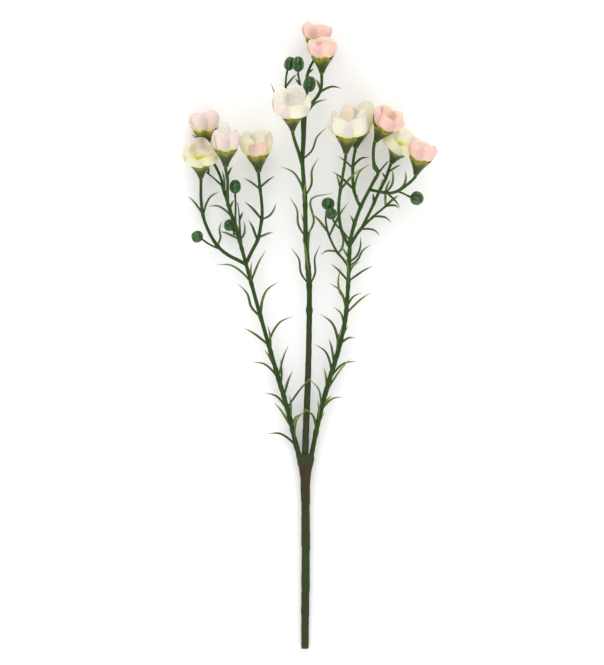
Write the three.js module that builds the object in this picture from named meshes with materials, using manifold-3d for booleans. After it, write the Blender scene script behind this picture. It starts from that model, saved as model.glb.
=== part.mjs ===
// An artificial waxflower spray: a tape-wrapped stalk with three leafy branches, twelve blooms and
// nine ball buds. It lies on a flat surface with its front up. Millimetres; +Y runs from the cut end
// of the stalk to the tips, +X to the right and +Z up. The surface is z = 0, and the origin is under
// the middle of the spray.

import * as THREE from 'three';
import { mergeVertices } from 'three/addons/utils/BufferGeometryUtils.js';
import Module from 'manifold-3d';

const wasm = await Module();
wasm.setup();

// ---------------------------------------------------------------- driving dimensions

const CLEARANCE = 0.3;             // between pieces that are seated in each other
const STALK_RADIUS = 2.6;          // at the cut end
const BINDING_TOP = 137;           // where the side branches leave the flared binding
const WIRE_END = 236;              // where the bare centre stem meets the leafy centre branch
const WIRE_PEG_RADIUS = 1.1;       // of the end that the leafy centre branch is pushed on
const PEG_RADIUS = 0.75;           // of the pointed tip that a twig pushes into a calyx or bud
const PEG_POINT_RADIUS = 0.2;
const PEG_LENGTH = 1.3;
const NECK_LENGTH = 1.6;           // of the straight end of a twig, under its bloom or bud
const SOCKET_DEPTH = 2.4;          // of the tapered hole in the foot of a calyx or bud
const SOCKET_RADIUS = PEG_RADIUS + CLEARANCE;

const CALYX_LENGTH = 12.2;
const CALYX_RIM_RADIUS = 7.5;
const CALYX_LOBES = 5;
const CALYX_LOBE_START = 7;        // how far up the calyx its lobes begin to show
const CALYX_LOBE_HEIGHT = 1.2;
const CALYX_LOBE_FLARE = 0.9;      // how far a lobe leans out
const SEPAL_RADIUS = 0.55;         // of a long sepal at its root
const SEPAL_TAPER = 0.6;           // how much of that its tip loses
const SEPAL_SIDES = 4;
const THROAT_HEIGHT = 6.3;         // floor of the calyx, where the petals are seated

const PETALS_IN_BLOOM = 5;
const PETAL_PITCH = 360 / PETALS_IN_BLOOM;
const PETAL_THICKNESS = 0.7;
const PETAL_STEPS = [3, 4];        // across a petal and along it
const PETAL_RIM_RADIUS = 5.9;      // where the petals pass the rim of the calyx
const PETAL_RIM_HEIGHT = 12.8;
const PETAL_BELLY = 0.62;          // how far up the open part of the cup is widest
const PETAL_SHOULDER = 0.42;       // where the cup has most of its width, as a part of the belly's height
const PETAL_CLAW_ANGLE = 0.52;     // half the angle that a petal takes round the bloom, in the throat
const PETAL_BLADE_ANGLE = 0.9;     // and further out, where each petal overlaps the next
const PETAL_TWIST = 1.25;          // how far one edge of a petal lies over, and the other under
const PETAL_CUPPING = 0.5;         // how far both edges curl in
const PETAL_TIP_ROUNDING = 0.18;   // how far the corners of a petal's tip draw back, of its length
const PETAL_TIP_NARROWING = 0.16;  // how much of its width a petal loses at the tip
const PETAL_PARTS = [0.16, 0.42];  // where along its length a petal's edges part, one over, one under
const PETAL_WIDENS = [0.2, 0.5];   // where it widens from the claw to the blade
const PETAL_NARROWS = [0.65, 1.05]; // where it draws in again towards the tip
const PETAL_DISC_RADIUS = 1.8;     // the disc that joins the petals
const PETAL_DISC_TOP = 7.5;
const ODD_PETAL_START = 0.12;      // how far up its length an odd petal starts, clear of the disc

const STAMEN_TEETH = 5;
const STAMEN_TOP = 13;
const STAMEN_TOOTH = 1.1;          // half the height of a tooth
const STAMEN_WAIST = 10;           // below this the tuft is round

const BUD_RIBS = 4;
const BUD_RIB = 0.03;              // how far a rib stands out, as a part of the radius

const LEAF_WIDTH = 1.9;
const LEAF_THICKNESS = 1.0;
const LEAF_ROOT_SHARE = 0.75;      // of the full width, at the root
const LEAF_TAPER = 0.72;           // how much of the width the tip loses
const LEAF_STEPS = 4;              // along a leaf; a plain or arched one has one fewer
const LEAF_DEPTH = 4;              // how far a leaf's tip rises or sinks from its root, at random
const LEAF_ROLL = 0.5;             // how far a leaf is turned about its length, at random
const LEAF_FLOOR = 1.2;            // no leaf reaches lower than this
const RUFF = { length: [15, 20], rise: [7, 10], sink: [4, 7], aside: 4, widthShare: 0.9 };

const STEM_SIDES = 5;
const STEM_STEP = 12;              // between two rings of a stem
const TRIM_SIZE = 60;              // of the block that is cut away under a bloom
const SEEDS = { left: 11, centre: 23, right: 37 };
const UP = new THREE.Vector3(0, 0, 1);

// How far a leaf's path bows to its upper side, at a third and at two thirds of its length, as a
// part of that length.
const BENDS = {
  arch: [0.13, 0.16],
  plain: [0.03, 0.04],
  wave: [-0.05, 0.05],
  sickle: [-0.15, -0.13],
  hook: [0.03, 0.30],
};

// ---------------------------------------------------------------- shoots
//
// path: the middle of the stem. thick: its radius at the foot and at the tip. leaves: for each one
// its root and its tip in plan, x, y, x, y, then its bend, and the rise of its tip where that is set.
// tip: the bloom or bud that the shoot carries. A shoot with neither ends in a point.

const LEFT_SHOOTS = [
  {
    path: [
      [-3.4, 129, 5.5], [-4.5, 136.5, 6.1], [-6.5, 144, 6.6], [-11.5, 165.5, 8], [-18.5, 189.5, 9.5],
      [-26, 215.5, 11], [-33, 240, 12.5], [-40, 265.5, 14], [-46, 287, 15], [-53, 309.5, 15.5],
      [-58.5, 327, 14],
    ],
    thick: [1.7, 1.1],
    leaves: [
      [-6.5, 142, -26.5, 151, 'arch'], [-5, 145, 1.5, 168.5, 'arch', 10],
      [-8, 153.5, -22, 173.5, 'plain'], [-7, 154, -2.5, 165.5, 'arch', 5],
      [-11, 165, -28.5, 180, 'arch'], [-10.5, 169.5, 4.5, 190.5, 'plain', 7],
      [-13, 178, -8.5, 195.5, 'plain'], [-19.5, 189, -37, 201.5, 'arch'],
      [-17, 190, -11.5, 213.5, 'plain'], [-21.5, 195.5, -28.5, 210, 'plain'],
      [-26, 213.5, -43, 225.5, 'plain'], [-23.5, 215, -8, 233.5, 'arch'],
      [-32, 232.5, -47, 256.5, 'wave'], [-28.5, 235, -18.5, 258, 'arch'],
      [-39.5, 257.5, -62.5, 269.5, 'arch'], [-36, 258.5, -27.5, 279.5, 'plain'],
      [-48.5, 287.5, -60, 293, 'plain'], [-44, 287, -43, 300.5, 'sickle'],
      [-53.5, 302.5, -68, 310.5, 'arch'], [-56, 320, -58, 336, 'plain', 6],
      [-51.5, 309, -49.5, 315, 'plain'],
    ],
    ruff: { from: 160, to: 282, gap: 24 },
  },
  {
    path: [
      [-41.5, 270, 14], [-47, 273, 13.5], [-53, 276, 12.5], [-59.5, 281, 11], [-64.5, 287.5, 9.5],
      [-69, 296.5, 8], [-71.5, 304, 7], [-73, 316, 6.2],
    ],
    thick: [1.3, 1.0],
    leaves: [
      [-72, 304.5, -82, 318, 'plain', 3], [-70.5, 304.5, -59.5, 321.5, 'arch', -1],
      [-61, 283.5, -58, 300.5, 'wave', 3],
    ],
    tip: 'bloom_left_2',
  },
  {
    path: [[-58, 280, 11], [-67, 284, 14]],
    thick: [0.7, 0.65],
    tip: 'bud_left_1',
  },
  {
    path: [
      [-41, 271, 14.2], [-37.5, 278.5, 14.5], [-33, 287.5, 14.5], [-31, 297, 14], [-30, 305, 13.5],
      [-30.5, 315, 13], [-31.5, 323, 12.5],
    ],
    thick: [1.3, 1.0],
    leaves: [
      [-33.5, 287.5, -39.5, 301, 'plain'], [-32, 287.5, -22, 292.5, 'plain'],
      [-31.5, 301.5, -42.5, 314, 'plain'], [-29.5, 301, -20, 313.5, 'sickle'],
      [-32, 323, -43, 330.5, 'plain'], [-30, 323.5, -21, 332, 'plain'],
    ],
    tip: 'bloom_left_4',
  },
  {
    path: [[-54, 311, 15.3], [-54.2, 320, 19], [-54, 328, 24]],
    thick: [1.2, 1.0],
    leaves: [[-53.5, 331, -50.5, 338, 'plain', 1]],
    tip: 'bloom_left_3',
  },
  {
    path: [[-57, 323, 14.4], [-59.5, 332, 9], [-64, 341, 5.6], [-68.4, 347.5, 6]],
    thick: [1.0, 0.9],
    tip: 'bloom_left_1',
  },
  {
    path: [[-57, 324, 14], [-64, 330.5, 9.5], [-69.5, 335, 6]],
    thick: [0.8, 0.4],
    leaves: [[-67.5, 334, -68.5, 340, 'plain', -1]],
  },
  {
    path: [[-46.5, 290.5, 15.2], [-48.5, 299.5, 17.5], [-48.5, 311.5, 18.5]],
    thick: [0.75, 0.65],
    tip: 'bud_left_2',
  },
  {
    path: [[-47.5, 291, 14.5], [-50, 291.5, 11.5]],
    thick: [0.7, 0.65],
    tip: 'bud_left_3',
  },
  {
    path: [[-45, 284, 15], [-45.5, 294, 17.5], [-46, 304, 20], [-47, 313, 22]],
    thick: [0.9, 0.3],
    leaves: [[-45.5, 300, -43, 306.5, 'plain']],
  },
];

const CENTRE_SHOOTS = [
  {
    path: [
      [3, 236.8, 12.2], [3, 254, 13], [0.5, 290.5, 14.5], [0, 315, 15.5], [-1, 329.5, 16.5],
      [-2, 343, 17],
    ],
    thick: [1.9, 1.4],
    leaves: [
      [1.5, 256, -10, 282, 'wave'], [4, 254, 11, 284, 'wave'], [3, 268, -2, 288, 'plain', 5],
      [3.5, 269, 4.5, 297, 'plain', 3], [0.5, 289, -11, 317.5, 'wave'], [2, 289, 20, 320, 'hook'],
      [-2.5, 317, -17, 338.5, 'arch'], [2, 317, 9.5, 344.5, 'wave'], [0.5, 343, 15.5, 366, 'wave'],
    ],
    ruff: { from: 262, to: 330, gap: 24 },
  },
  {
    path: [[-2, 340, 17], [-4.5, 348.5, 20.5], [-7, 355.5, 24.5]],
    thick: [1.4, 1.0],
    tip: 'bloom_centre_3',
  },
  {
    path: [
      [-2, 341, 17], [-1.5, 359, 19], [-1.5, 371, 21.5], [1, 378.5, 24], [5.5, 383, 26.5],
      [9.5, 388, 29.5], [11.5, 394, 32.5],
    ],
    thick: [1.3, 1.0],
    leaves: [
      [-1.5, 371, 15.5, 385, 'arch', 1], [10, 387.5, 25.6, 392.2, 'arch'], [11, 391.5, 7.5, 398.5, 'plain'],
    ],
    tip: 'bloom_centre_2',
  },
  {
    path: [[-1.5, 343, 17], [-0.5, 358.5, 14], [0, 372.5, 11.5], [0.3, 395, 9], [2.9, 407, 8]],
    thick: [1.2, 0.9],
    leaves: [[0, 372.5, -24, 397, 'sickle', 4], [2.2, 404, 6.2, 407.5, 'plain']],
    tip: 'bloom_centre_1',
  },
  {
    path: [[-0.2, 369, 12], [-6.5, 381, 12.5], [-12, 388, 13], [-13.5, 394, 13]],
    thick: [0.8, 0.65],
    leaves: [[-13, 395, -5.5, 403.5, 'plain', -2]],
    tip: 'bud_centre_1',
  },
  {
    path: [[-0.3, 380, 10.5], [-2.5, 389, 15], [-3.5, 396, 18]],
    thick: [0.8, 0.65],
    leaves: [[-3.5, 395.5, -7, 400, 'plain']],
    tip: 'bud_centre_2',
  },
  {
    path: [[-1.3, 369, 21], [0.5, 379, 20]],
    thick: [0.8, 0.65],
    tip: 'bud_centre_3',
  },
];

const RIGHT_SHOOTS = [
  {
    path: [
      [3.4, 129, 5.5], [4.7, 136.5, 6.1], [7.5, 151, 6.8], [10.5, 165.5, 7.5], [16.5, 187, 9],
      [23, 208.5, 10.5], [28, 230, 11.5], [30, 251.5, 12.5], [31.5, 283, 13.5], [33, 292.5, 14],
      [38.5, 309, 15], [47, 326, 17], [51, 334, 18.5], [48, 341, 22],
    ],
    thick: [1.7, 1.1],
    leaves: [
      [7.5, 151, -0.5, 169, 'arch', 7], [9, 152, 14, 166.5, 'plain'], [9, 165.5, 2.5, 190, 'arch', 7],
      [12, 165.5, 27, 177, 'arch'], [11.5, 168.5, 19, 178.5, 'plain'], [15, 179, 32, 204, 'plain'],
      [18.5, 188.5, 36.5, 202, 'arch'], [15.5, 194.5, 7, 214, 'arch'],
      [19, 199.5, 16.5, 218.5, 'plain'], [22, 210, 10.5, 235.5, 'arch'],
      [25.5, 213.5, 35.5, 218.5, 'arch'], [25, 217, 30.5, 227, 'plain'], [25.5, 226, 20, 240, 'arch'],
      [28.5, 235, 46.5, 250.5, 'plain'], [29, 237.5, 40, 250, 'arch'], [28, 236.5, 17, 257, 'arch'],
      [28.5, 244, 25, 267.5, 'sickle'], [31, 257.5, 48, 269, 'plain'], [31, 258.5, 38.5, 272, 'arch'],
      [29.5, 257.5, 18, 270.5, 'plain'], [32, 268.5, 46.5, 284, 'wave'], [32, 271.5, 39, 290, 'sickle'],
      [31, 273, 24.5, 283, 'plain'], [32, 286.5, 25, 313, 'sickle', 3],
      [35.5, 298, 31.5, 304.5, 'plain'], [39, 310, 37, 319, 'sickle', 3],
      [50.5, 334.5, 48, 343.5, 'sickle', 0],
    ],
    ruff: { from: 158, to: 285, gap: 24 },
    tip: 'bloom_right_3',
  },
  {
    path: [
      [31.5, 281.5, 13.4], [26.5, 291, 16], [24.5, 298, 19], [23.5, 310, 23], [25, 324, 27],
      [27, 336, 30],
    ],
    thick: [1.2, 1.0],
    leaves: [[24.5, 321.5, 21.5, 333, 'plain'], [25, 321.5, 39, 336.5, 'plain', -2]],
    tip: 'bloom_right_1',
  },
  {
    path: [[31, 267.5, 13], [26.5, 274, 14], [22.5, 278.5, 15], [16.5, 291, 16], [14.5, 301, 17]],
    thick: [0.9, 0.65],
    leaves: [
      [22.5, 278.5, 11, 276.5, 'arch'], [23, 277.5, 25.5, 292, 'sickle', -2],
      [16.5, 291, 4, 306, 'plain', 4], [17.5, 290, 30.5, 313.5, 'plain', -5],
    ],
    tip: 'bud_right_1',
  },
  {
    path: [[25.5, 294, 18], [22.5, 296.5, 21.5]],
    thick: [0.7, 0.65],
    tip: 'bud_right_2',
  },
  {
    path: [[39, 310, 15], [36.5, 315, 13.5], [34, 323.5, 11.5], [33.5, 337, 10.5], [34.2, 345, 10.3]],
    thick: [1.1, 1.0],
    leaves: [
      [34, 322.5, 19, 335, 'plain'], [34.5, 322.5, 45.5, 340, 'arch', 2], [33, 337.5, 23, 346, 'plain'],
      [33, 338, 45, 345, 'arch', 0],
    ],
    tip: 'bloom_right_2',
  },
  {
    path: [[48.5, 329.5, 17.6], [53, 336, 15.5], [58, 342, 12.5]],
    thick: [1.0, 0.4],
  },
  {
    path: [[32, 284, 13.6], [38.5, 294, 14], [48.5, 304, 13], [57.5, 311.5, 12]],
    thick: [1.2, 0.7],
    leaves: [
      [39.5, 294.5, 52.5, 290, 'arch'], [47.5, 303, 60.5, 299, 'arch'],
      [56.5, 311, 55.5, 318, 'plain', 0], [57, 311, 66, 318.5, 'plain', 0],
      [57, 311, 66.5, 309, 'arch', 0],
    ],
  },
  {
    path: [[39.5, 295, 14], [46.5, 309, 12.5], [52, 321, 10.5], [57, 331, 8]],
    thick: [1.1, 1.0],
    leaves: [
      [56.5, 330, 54, 334.5, 'plain', -1], [59, 334, 67.5, 340, 'plain', 0],
      [48.5, 313, 47.5, 320, 'plain', 0], [53, 323.5, 55.5, 330.5, 'plain', 2],
    ],
    tip: 'bloom_right_4',
  },
  {
    path: [[46, 322, 16.5], [55, 320, 22], [59.5, 319.5, 25], [65, 321, 28], [71, 325, 31.5]],
    thick: [1.1, 1.0],
    leaves: [
      [55.5, 320, 60, 329.5, 'plain'], [57, 320, 60.5, 337, 'sickle', 2],
      [56.5, 319.5, 66.5, 309.5, 'plain'], [55.5, 320, 56, 311.5, 'plain'],
      [65.5, 321.5, 70, 335, 'sickle', -4],
    ],
    tip: 'bloom_right_5',
  },
  {
    path: [[64.5, 320.5, 27.5], [69, 319, 25]],
    thick: [0.7, 0.65],
    tip: 'bud_right_3',
  },
];

// ---------------------------------------------------------------- blooms and buds
//
// base: the foot of the calyx. axis: where the bloom faces. reach: the radius of its cup of petals,
// tall: how far the tips lie from the foot, lip: the cup's radius at the tips as a part of its reach.
// turn: where the first petal points, in degrees from the bloom's right towards its back.
// heights: of each petal, as a part of tall. belly: how far up the open part of the cup is widest.
// sepalTurn: how far the lobes of the calyx are turned from the petals, in petals.
// sepals: where long ones start, bend and end, to the bloom's right, to its back and up its length.
// twist: -1 where each petal lies over its other neighbour. odd: the one petal of another colour, and
// how wide it is, as a part of the others.

const BLOOMS = {
  bloom_left_1: {
    base: [-69.4, 351.6, 6.8], axis: [-0.08, 0.97, 0.16], reach: 10.2, tall: 26.5, lip: 0.84, turn: 90,
    heights: [0.93, 0.95, 1, 1.03, 0.97], sepalTurn: 0.5, petals: 'pale_pink',
    sepals: [
      [[4.3, -3.4, 8.9], [6.9, -4, 12], [9.8, -3.6, 14.4]],
      [[-4, -3.4, 8], [-6.5, -4, 8.9], [-8.8, -3.6, 10.8]],
    ],
  },
  bloom_left_2: {
    base: [-73, 330.6, 10.5], axis: [-0.01, 0.86, 0.5], reach: 12, tall: 25, lip: 0.9, turn: 12,
    heights: [0.95, 1.06, 1.05, 0.86, 0.86], belly: 0.45, petals: 'cream',
    odd: { petal: 1, colour: 'pale_pink' },
  },
  bloom_left_3: {
    base: [-55.2, 337.6, 28], axis: [0.01, 0.95, 0.28], reach: 9.3, tall: 27.6, lip: 0.84, turn: 20,
    heights: [0.95, 1.12, 0.93, 1, 0.98], petals: 'pale_pink',
    odd: { petal: 1, colour: 'cream', width: 0.5 },
  },
  bloom_left_4: {
    base: [-32.6, 334.6, 12], axis: [-0.06, 0.96, 0.26], reach: 11.4, tall: 29, lip: 0.88, turn: -70,
    twist: -1, heights: [0.82, 1, 1, 1, 0.97], petals: 'cream',
    odd: { petal: 0, colour: 'salmon', width: 0.95 },
  },
  bloom_centre_1: {
    base: [6.5, 415.2, 11], axis: [0.12, 0.97, 0.2], reach: 10.3, tall: 24.4, lip: 0.88, turn: -2,
    heights: [0.95, 0.93, 0.95, 1.04, 1], petals: 'salmon',
  },
  bloom_centre_2: {
    base: [11.6, 402.4, 34], axis: [0.02, 0.94, 0.33], reach: 10, tall: 23, lip: 0.9, turn: -2,
    heights: [0.98, 1.03, 0.98, 1.03, 1.02], petals: 'salmon',
  },
  bloom_centre_3: {
    base: [-8.6, 362.8, 28.5], axis: [-0.03, 0.86, 0.5], reach: 13, tall: 29.5, lip: 0.9, turn: -80,
    heights: [0.85, 0.93, 1.02, 1, 0.95], belly: 0.5, petals: 'white',
    odd: { petal: 4, colour: 'pale_pink' },
  },
  bloom_right_1: {
    base: [28.4, 346.6, 32], axis: [0.06, 0.95, 0.28], reach: 13.7, tall: 29.5, lip: 0.88, turn: 20,
    heights: [1.05, 1.12, 1, 0.93, 0.95], belly: 0.5, petals: 'white',
    odd: { petal: 1, colour: 'salmon', width: 0.46 },
  },
  bloom_right_2: {
    base: [35.4, 351.4, 9.85], axis: [0.14, 0.98, 0.04], reach: 10.6, tall: 31, lip: 0.8, turn: 76,
    heights: [1, 0.95, 0.9, 1.1, 0.97], petals: 'cream',
  },
  bloom_right_3: {
    base: [49.1, 355.4, 28], axis: [0.46, 0.8, 0.38], reach: 10.7, tall: 24.5, lip: 0.88, turn: -100,
    heights: [0.95, 0.98, 1.03, 1, 1.06], petals: 'salmon',
    sepals: [[[-6.9, 1, 9.8], [-9, 1, 13], [-10.6, 0.5, 16.5]]],
  },
  bloom_right_4: {
    base: [60.6, 341.2, 10], axis: [0.38, 0.77, 0.5], reach: 13.8, tall: 23.5, lip: 0.92, turn: 18,
    belly: 0.5, petals: 'cream',
  },
  bloom_right_5: {
    base: [76.8, 331.7, 37], axis: [0.24, 0.9, 0.34], reach: 9.8, tall: 23.6, lip: 0.87, turn: 10,
    heights: [0.97, 0.95, 0.95, 1.05, 1.07], petals: 'salmon',
  },
};

// foot: where the stalk enters. size: radius and length.
const BUDS = {
  bud_left_1: { foot: [-73.2, 288.2, 15.5], axis: [-0.6, 0.3, 0.75], size: [4.2, 7.6] },
  bud_left_2: { foot: [-48.8, 319.5, 18.6], axis: [0, 1, 0], size: [3.8, 9.6] },
  bud_left_3: { foot: [-50.6, 294.6, 9.5], axis: [-0.5, 0.7, -0.3], size: [4.2, 8] },
  bud_centre_1: { foot: [-12.2, 406, 13], axis: [0.3, 1, 0], size: [3.6, 9.8] },
  bud_centre_2: { foot: [-4.8, 404.5, 20.5], axis: [0, 1, 0], size: [3.9, 10.6] },
  bud_centre_3: { foot: [1.9, 390.5, 19.5], axis: [0.25, 1, 0], size: [4.2, 11] },
  bud_right_1: { foot: [15.3, 308.2, 17.5], axis: [0.2, 1, 0.2], size: [4.4, 8.6] },
  bud_right_2: { foot: [19.5, 301.5, 24.5], axis: [-0.3, 0.9, 0.2], size: [3.9, 8] },
  bud_right_3: { foot: [73.8, 317, 22.5], axis: [0.85, -0.2, -0.2], size: [4.7, 9.2] },
};

// Colour and roughness.
const FINISHES = {
  tape: [0x3b4a2c, 0.8],
  stem: [0x3a6a2c, 0.5],
  leaf: [0x4c7a33, 0.5],
  calyx: [0x4a5626, 0.55],
  bud: [0x23683a, 0.35],
  stamen: [0xd9c556, 0.6],
  pale_pink: [0xf1d6d2, 0.85],
  salmon: [0xf4bfb8, 0.85],
  cream: [0xf3efcf, 0.85],
  white: [0xf1f0e6, 0.85],
};

// ---------------------------------------------------------------- helpers

// The same run of numbers from 0 to 1 each time for the same seed.
function seededDraw(seed) {
  let state = seed;
  return () => {
    state = (state * 16807) % 2147483647;
    return state / 2147483647;
  };
}

function vector([x, y, z]) {
  return new THREE.Vector3(x, y, z);
}

function mix(from, to, share) {
  return from + (to - from) * share;
}

function material(finish) {
  const [color, roughness] = FINISHES[finish];
  return new THREE.MeshStandardMaterial({ color, roughness, metalness: 0 });
}

// Merges shared corners and drops the faces that this leaves without area.
function weld(geometry) {
  const bare = geometry.clone();
  bare.deleteAttribute('normal');
  bare.deleteAttribute('uv');
  const merged = mergeVertices(bare, 1e-4);
  const faces = [];
  const index = merged.index.array;
  for (let i = 0; i < index.length; i += 3) {
    const [a, b, c] = [index[i], index[i + 1], index[i + 2]];
    if (a !== b && b !== c && c !== a) faces.push(a, b, c);
  }
  merged.setIndex(faces);
  return merged;
}

function toSolid(geometry) {
  const welded = weld(geometry);
  const mesh = new wasm.Mesh({
    numProp: 3,
    vertProperties: Float32Array.from(welded.attributes.position.array),
    triVerts: Uint32Array.from(welded.index.array),
  });
  return new wasm.Manifold(mesh);
}

function toGeometry(solid) {
  const mesh = solid.getMesh();
  const geometry = new THREE.BufferGeometry();
  geometry.setAttribute('position', new THREE.BufferAttribute(mesh.vertProperties, 3));
  geometry.setIndex(new THREE.BufferAttribute(mesh.triVerts, 1));
  geometry.computeVertexNormals();
  return geometry;
}

function join(solids) {
  return solids.reduce((whole, piece) => whole.add(piece));
}

// A closed tube through rings. Each ring has a centre, a sideways and an upright radius and a roll.
function tube(rings, sides) {
  const last = rings.length - 1;
  const geometry = new THREE.CylinderGeometry(1, 1, 1, sides, last);
  const corners = geometry.attributes.position;
  for (let i = 0; i < corners.count; i += 1) {
    const number = Math.round((corners.getY(i) + 0.5) * last);
    const ring = rings[number];
    const ahead = rings[Math.min(number + 1, last)].centre;
    const behind = rings[Math.max(number - 1, 0)].centre;
    const along = ahead.clone().sub(behind).normalize();
    const side = along.clone().cross(UP).normalize().applyAxisAngle(along, ring.roll ?? 0);
    const upright = side.clone().cross(along);
    const point = ring.centre.clone()
      .addScaledVector(side, corners.getX(i) * ring.wide)
      .addScaledVector(upright, corners.getZ(i) * ring.high);
    corners.setXYZ(i, point.x, point.y, point.z);
  }
  return geometry;
}

// A thin curved slab. surface gives a point for across, from -1 to 1, and along, from 0 to 1. Both
// faces are split into triangles alike.
function slab(surface, thickness, acrossSteps, alongSteps) {
  const reach = 0.02;
  const corners = [];
  const columns = acrossSteps + 1;
  const perFace = columns * (alongSteps + 1);
  for (const sign of [1, -1]) {
    for (let j = 0; j <= alongSteps; j += 1) {
      for (let i = 0; i <= acrossSteps; i += 1) {
        const across = -1 + (2 * i) / acrossSteps;
        const along = j / alongSteps;
        const sideways = surface(across + reach, along).sub(surface(across - reach, along));
        const forward = surface(across, along + reach).sub(surface(across, along - reach));
        const out = sideways.cross(forward).normalize();
        const point = surface(across, along).addScaledVector(out, (sign * thickness) / 2);
        corners.push(point.x, point.y, point.z);
      }
    }
  }
  const faces = [];
  for (let j = 0; j < alongSteps; j += 1) {
    for (let i = 0; i < acrossSteps; i += 1) {
      const a = j * columns + i;
      const b = a + 1;
      const c = a + columns;
      const d = c + 1;
      faces.push(a, b, d, a, d, c);
      faces.push(perFace + a, perFace + d, perFace + b, perFace + a, perFace + c, perFace + d);
    }
  }
  const wall = (a, b) => faces.push(a, perFace + a, perFace + b, a, perFace + b, b);
  for (let i = 0; i < acrossSteps; i += 1) {
    wall(i, i + 1);
    wall(alongSteps * columns + i + 1, alongSteps * columns + i);
  }
  for (let j = 0; j < alongSteps; j += 1) {
    wall((j + 1) * columns, j * columns);
    wall(j * columns + acrossSteps, (j + 1) * columns + acrossSteps);
  }
  const geometry = new THREE.BufferGeometry();
  geometry.setAttribute('position', new THREE.Float32BufferAttribute(corners, 3));
  geometry.setIndex(faces);
  return geometry;
}

// A turned solid about +Z from its profile of [radius, height], with an optional change to each point.
function turned(profile, sides, reshape = () => {}) {
  const points = profile.map(([radius, height]) => new THREE.Vector2(radius, height));
  const geometry = new THREE.LatheGeometry(points, sides);
  geometry.rotateX(Math.PI / 2);
  const corners = geometry.attributes.position;
  const point = new THREE.Vector3();
  for (let i = 0; i < corners.count; i += 1) {
    point.fromBufferAttribute(corners, i);
    reshape(point, Math.atan2(point.y, point.x));
    corners.setXYZ(i, point.x, point.y, point.z);
  }
  return toSolid(geometry);
}

// The turn that sets a piece's +Z along an axis, its +X to the right and its +Y to the back.
function facing(axis) {
  const ahead = vector(axis).normalize();
  const right = ahead.clone().cross(UP).normalize();
  const back = ahead.clone().cross(right);
  return new THREE.Quaternion().setFromRotationMatrix(new THREE.Matrix4().makeBasis(right, back, ahead));
}

// ---------------------------------------------------------------- stalk

// The wrapped stalk: middle x, y, z, then the half width and half height of its section. The tape's
// laps are the small steps, and the last rings before the bare stem are the flared binding.
const STALK_RINGS = [
  [0, 0, STALK_RADIUS, 2.55, STALK_RADIUS], [0, 6, 2.8, 2.65, 2.65],
  [0.1, 23, 3.1, 2.7, 2.7], [0.1, 24.4, 3.1, 2.95, 2.95],
  [0.3, 40, 3.4, 2.75, 2.75], [0.4, 41.6, 3.4, 3.05, 3.05],
  [0.5, 70, 4, 2.8, 2.8], [0.5, 71.8, 4, 3.15, 3.15],
  [0.4, 102, 4.6, 2.9, 2.9], [0.3, 104, 4.7, 3.25, 3.25],
  [0.2, 118, 5, 3.4, 3.3], [0.1, 125, 5.2, 4.2, 3.7],
  [0.1, 131, 5.5, 5.6, 4.0], [0.1, 135.2, 5.8, 6.5, 4.1], [0.1, BINDING_TOP, 6, 6.1, 3.8],
];
const WIRE_RINGS = [
  [0.1, BINDING_TOP - 8, 5.6, 2.3, 2.3], [0.2, BINDING_TOP + 3, 6.4, 2.35, 2.35],
  [1, 162.5, 8, 2.3, 2.3], [2, 187, 9.5, 2.2, 2.2], [2.6, 208, 10.8, 2.05, 2.05],
  [3, WIRE_END - 4, 12, 1.95, 1.95], [3, WIRE_END, 12.2, 2, 2],
];

function ringsFrom(rows) {
  return rows.map(([x, y, z, wide, high]) => ({ centre: vector([x, y, z]), wide, high }));
}

function makeStalk(sideShoots) {
  const wrapped = toSolid(tube(ringsFrom(STALK_RINGS), 10));
  const wire = toSolid(tube(ringsFrom(WIRE_RINGS), 8));
  const sockets = sideShoots.map((shoot) => toSolid(tube(shootRings(shoot, CLEARANCE), STEM_SIDES)));
  const peg = toSolid(tube(ringsFrom([
    [3, WIRE_END - 2, 12.1, WIRE_PEG_RADIUS, WIRE_PEG_RADIUS],
    [3, WIRE_END + 3, 12.35, WIRE_PEG_RADIUS, WIRE_PEG_RADIUS],
  ]), STEM_SIDES));
  return sockets.reduce((stalk, socket) => stalk.subtract(socket), join([wrapped, wire, peg]));
}

// ---------------------------------------------------------------- leafy branches

// The path of a shoot, with the last points in line with the bloom or bud that it carries.
function shootPath(shoot) {
  const points = shoot.path.map(vector);
  const carried = BLOOMS[shoot.tip] ?? BUDS[shoot.tip];
  if (carried) {
    const foot = vector(carried.base ?? carried.foot);
    const ahead = vector(carried.axis).normalize();
    points.push(foot.clone().addScaledVector(ahead, -NECK_LENGTH));
    points.push(foot.clone().addScaledVector(ahead, PEG_LENGTH));
  }
  return new THREE.CatmullRomCurve3(points, false, 'centripetal');
}

// The rings of a shoot's stem; a tip that carries something ends in a peg.
function shootRings(shoot, extra = 0) {
  const path = shootPath(shoot);
  const length = path.getLength();
  const steps = Math.max(3, Math.round(length / STEM_STEP));
  const [foot, tip] = shoot.thick;
  const rings = [];
  for (let i = 0; i <= steps; i += 1) {
    const share = i / steps;
    const radius = mix(foot, tip, share) + extra;
    rings.push({ centre: path.getPointAt(share), wide: radius, high: radius });
  }
  if (shoot.tip) {
    const peg = rings.pop();
    const shoulder = path.getPointAt(1 - (PEG_LENGTH + CLEARANCE) / length);
    const neck = path.getPointAt(1 - PEG_LENGTH / length);
    rings.push({ centre: shoulder, wide: tip, high: tip });
    rings.push({ centre: neck, wide: PEG_RADIUS, high: PEG_RADIUS });
    rings.push({ ...peg, wide: PEG_POINT_RADIUS, high: PEG_POINT_RADIUS });
  }
  return rings;
}

// Points close together along the straight stretches between a stem's rings.
function spine(rings) {
  const points = [];
  for (let i = 1; i < rings.length; i += 1) {
    for (let share = 0; share < 1; share += 0.1) {
      points.push(rings[i - 1].centre.clone().lerp(rings[i].centre, share));
    }
  }
  return points;
}

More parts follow.
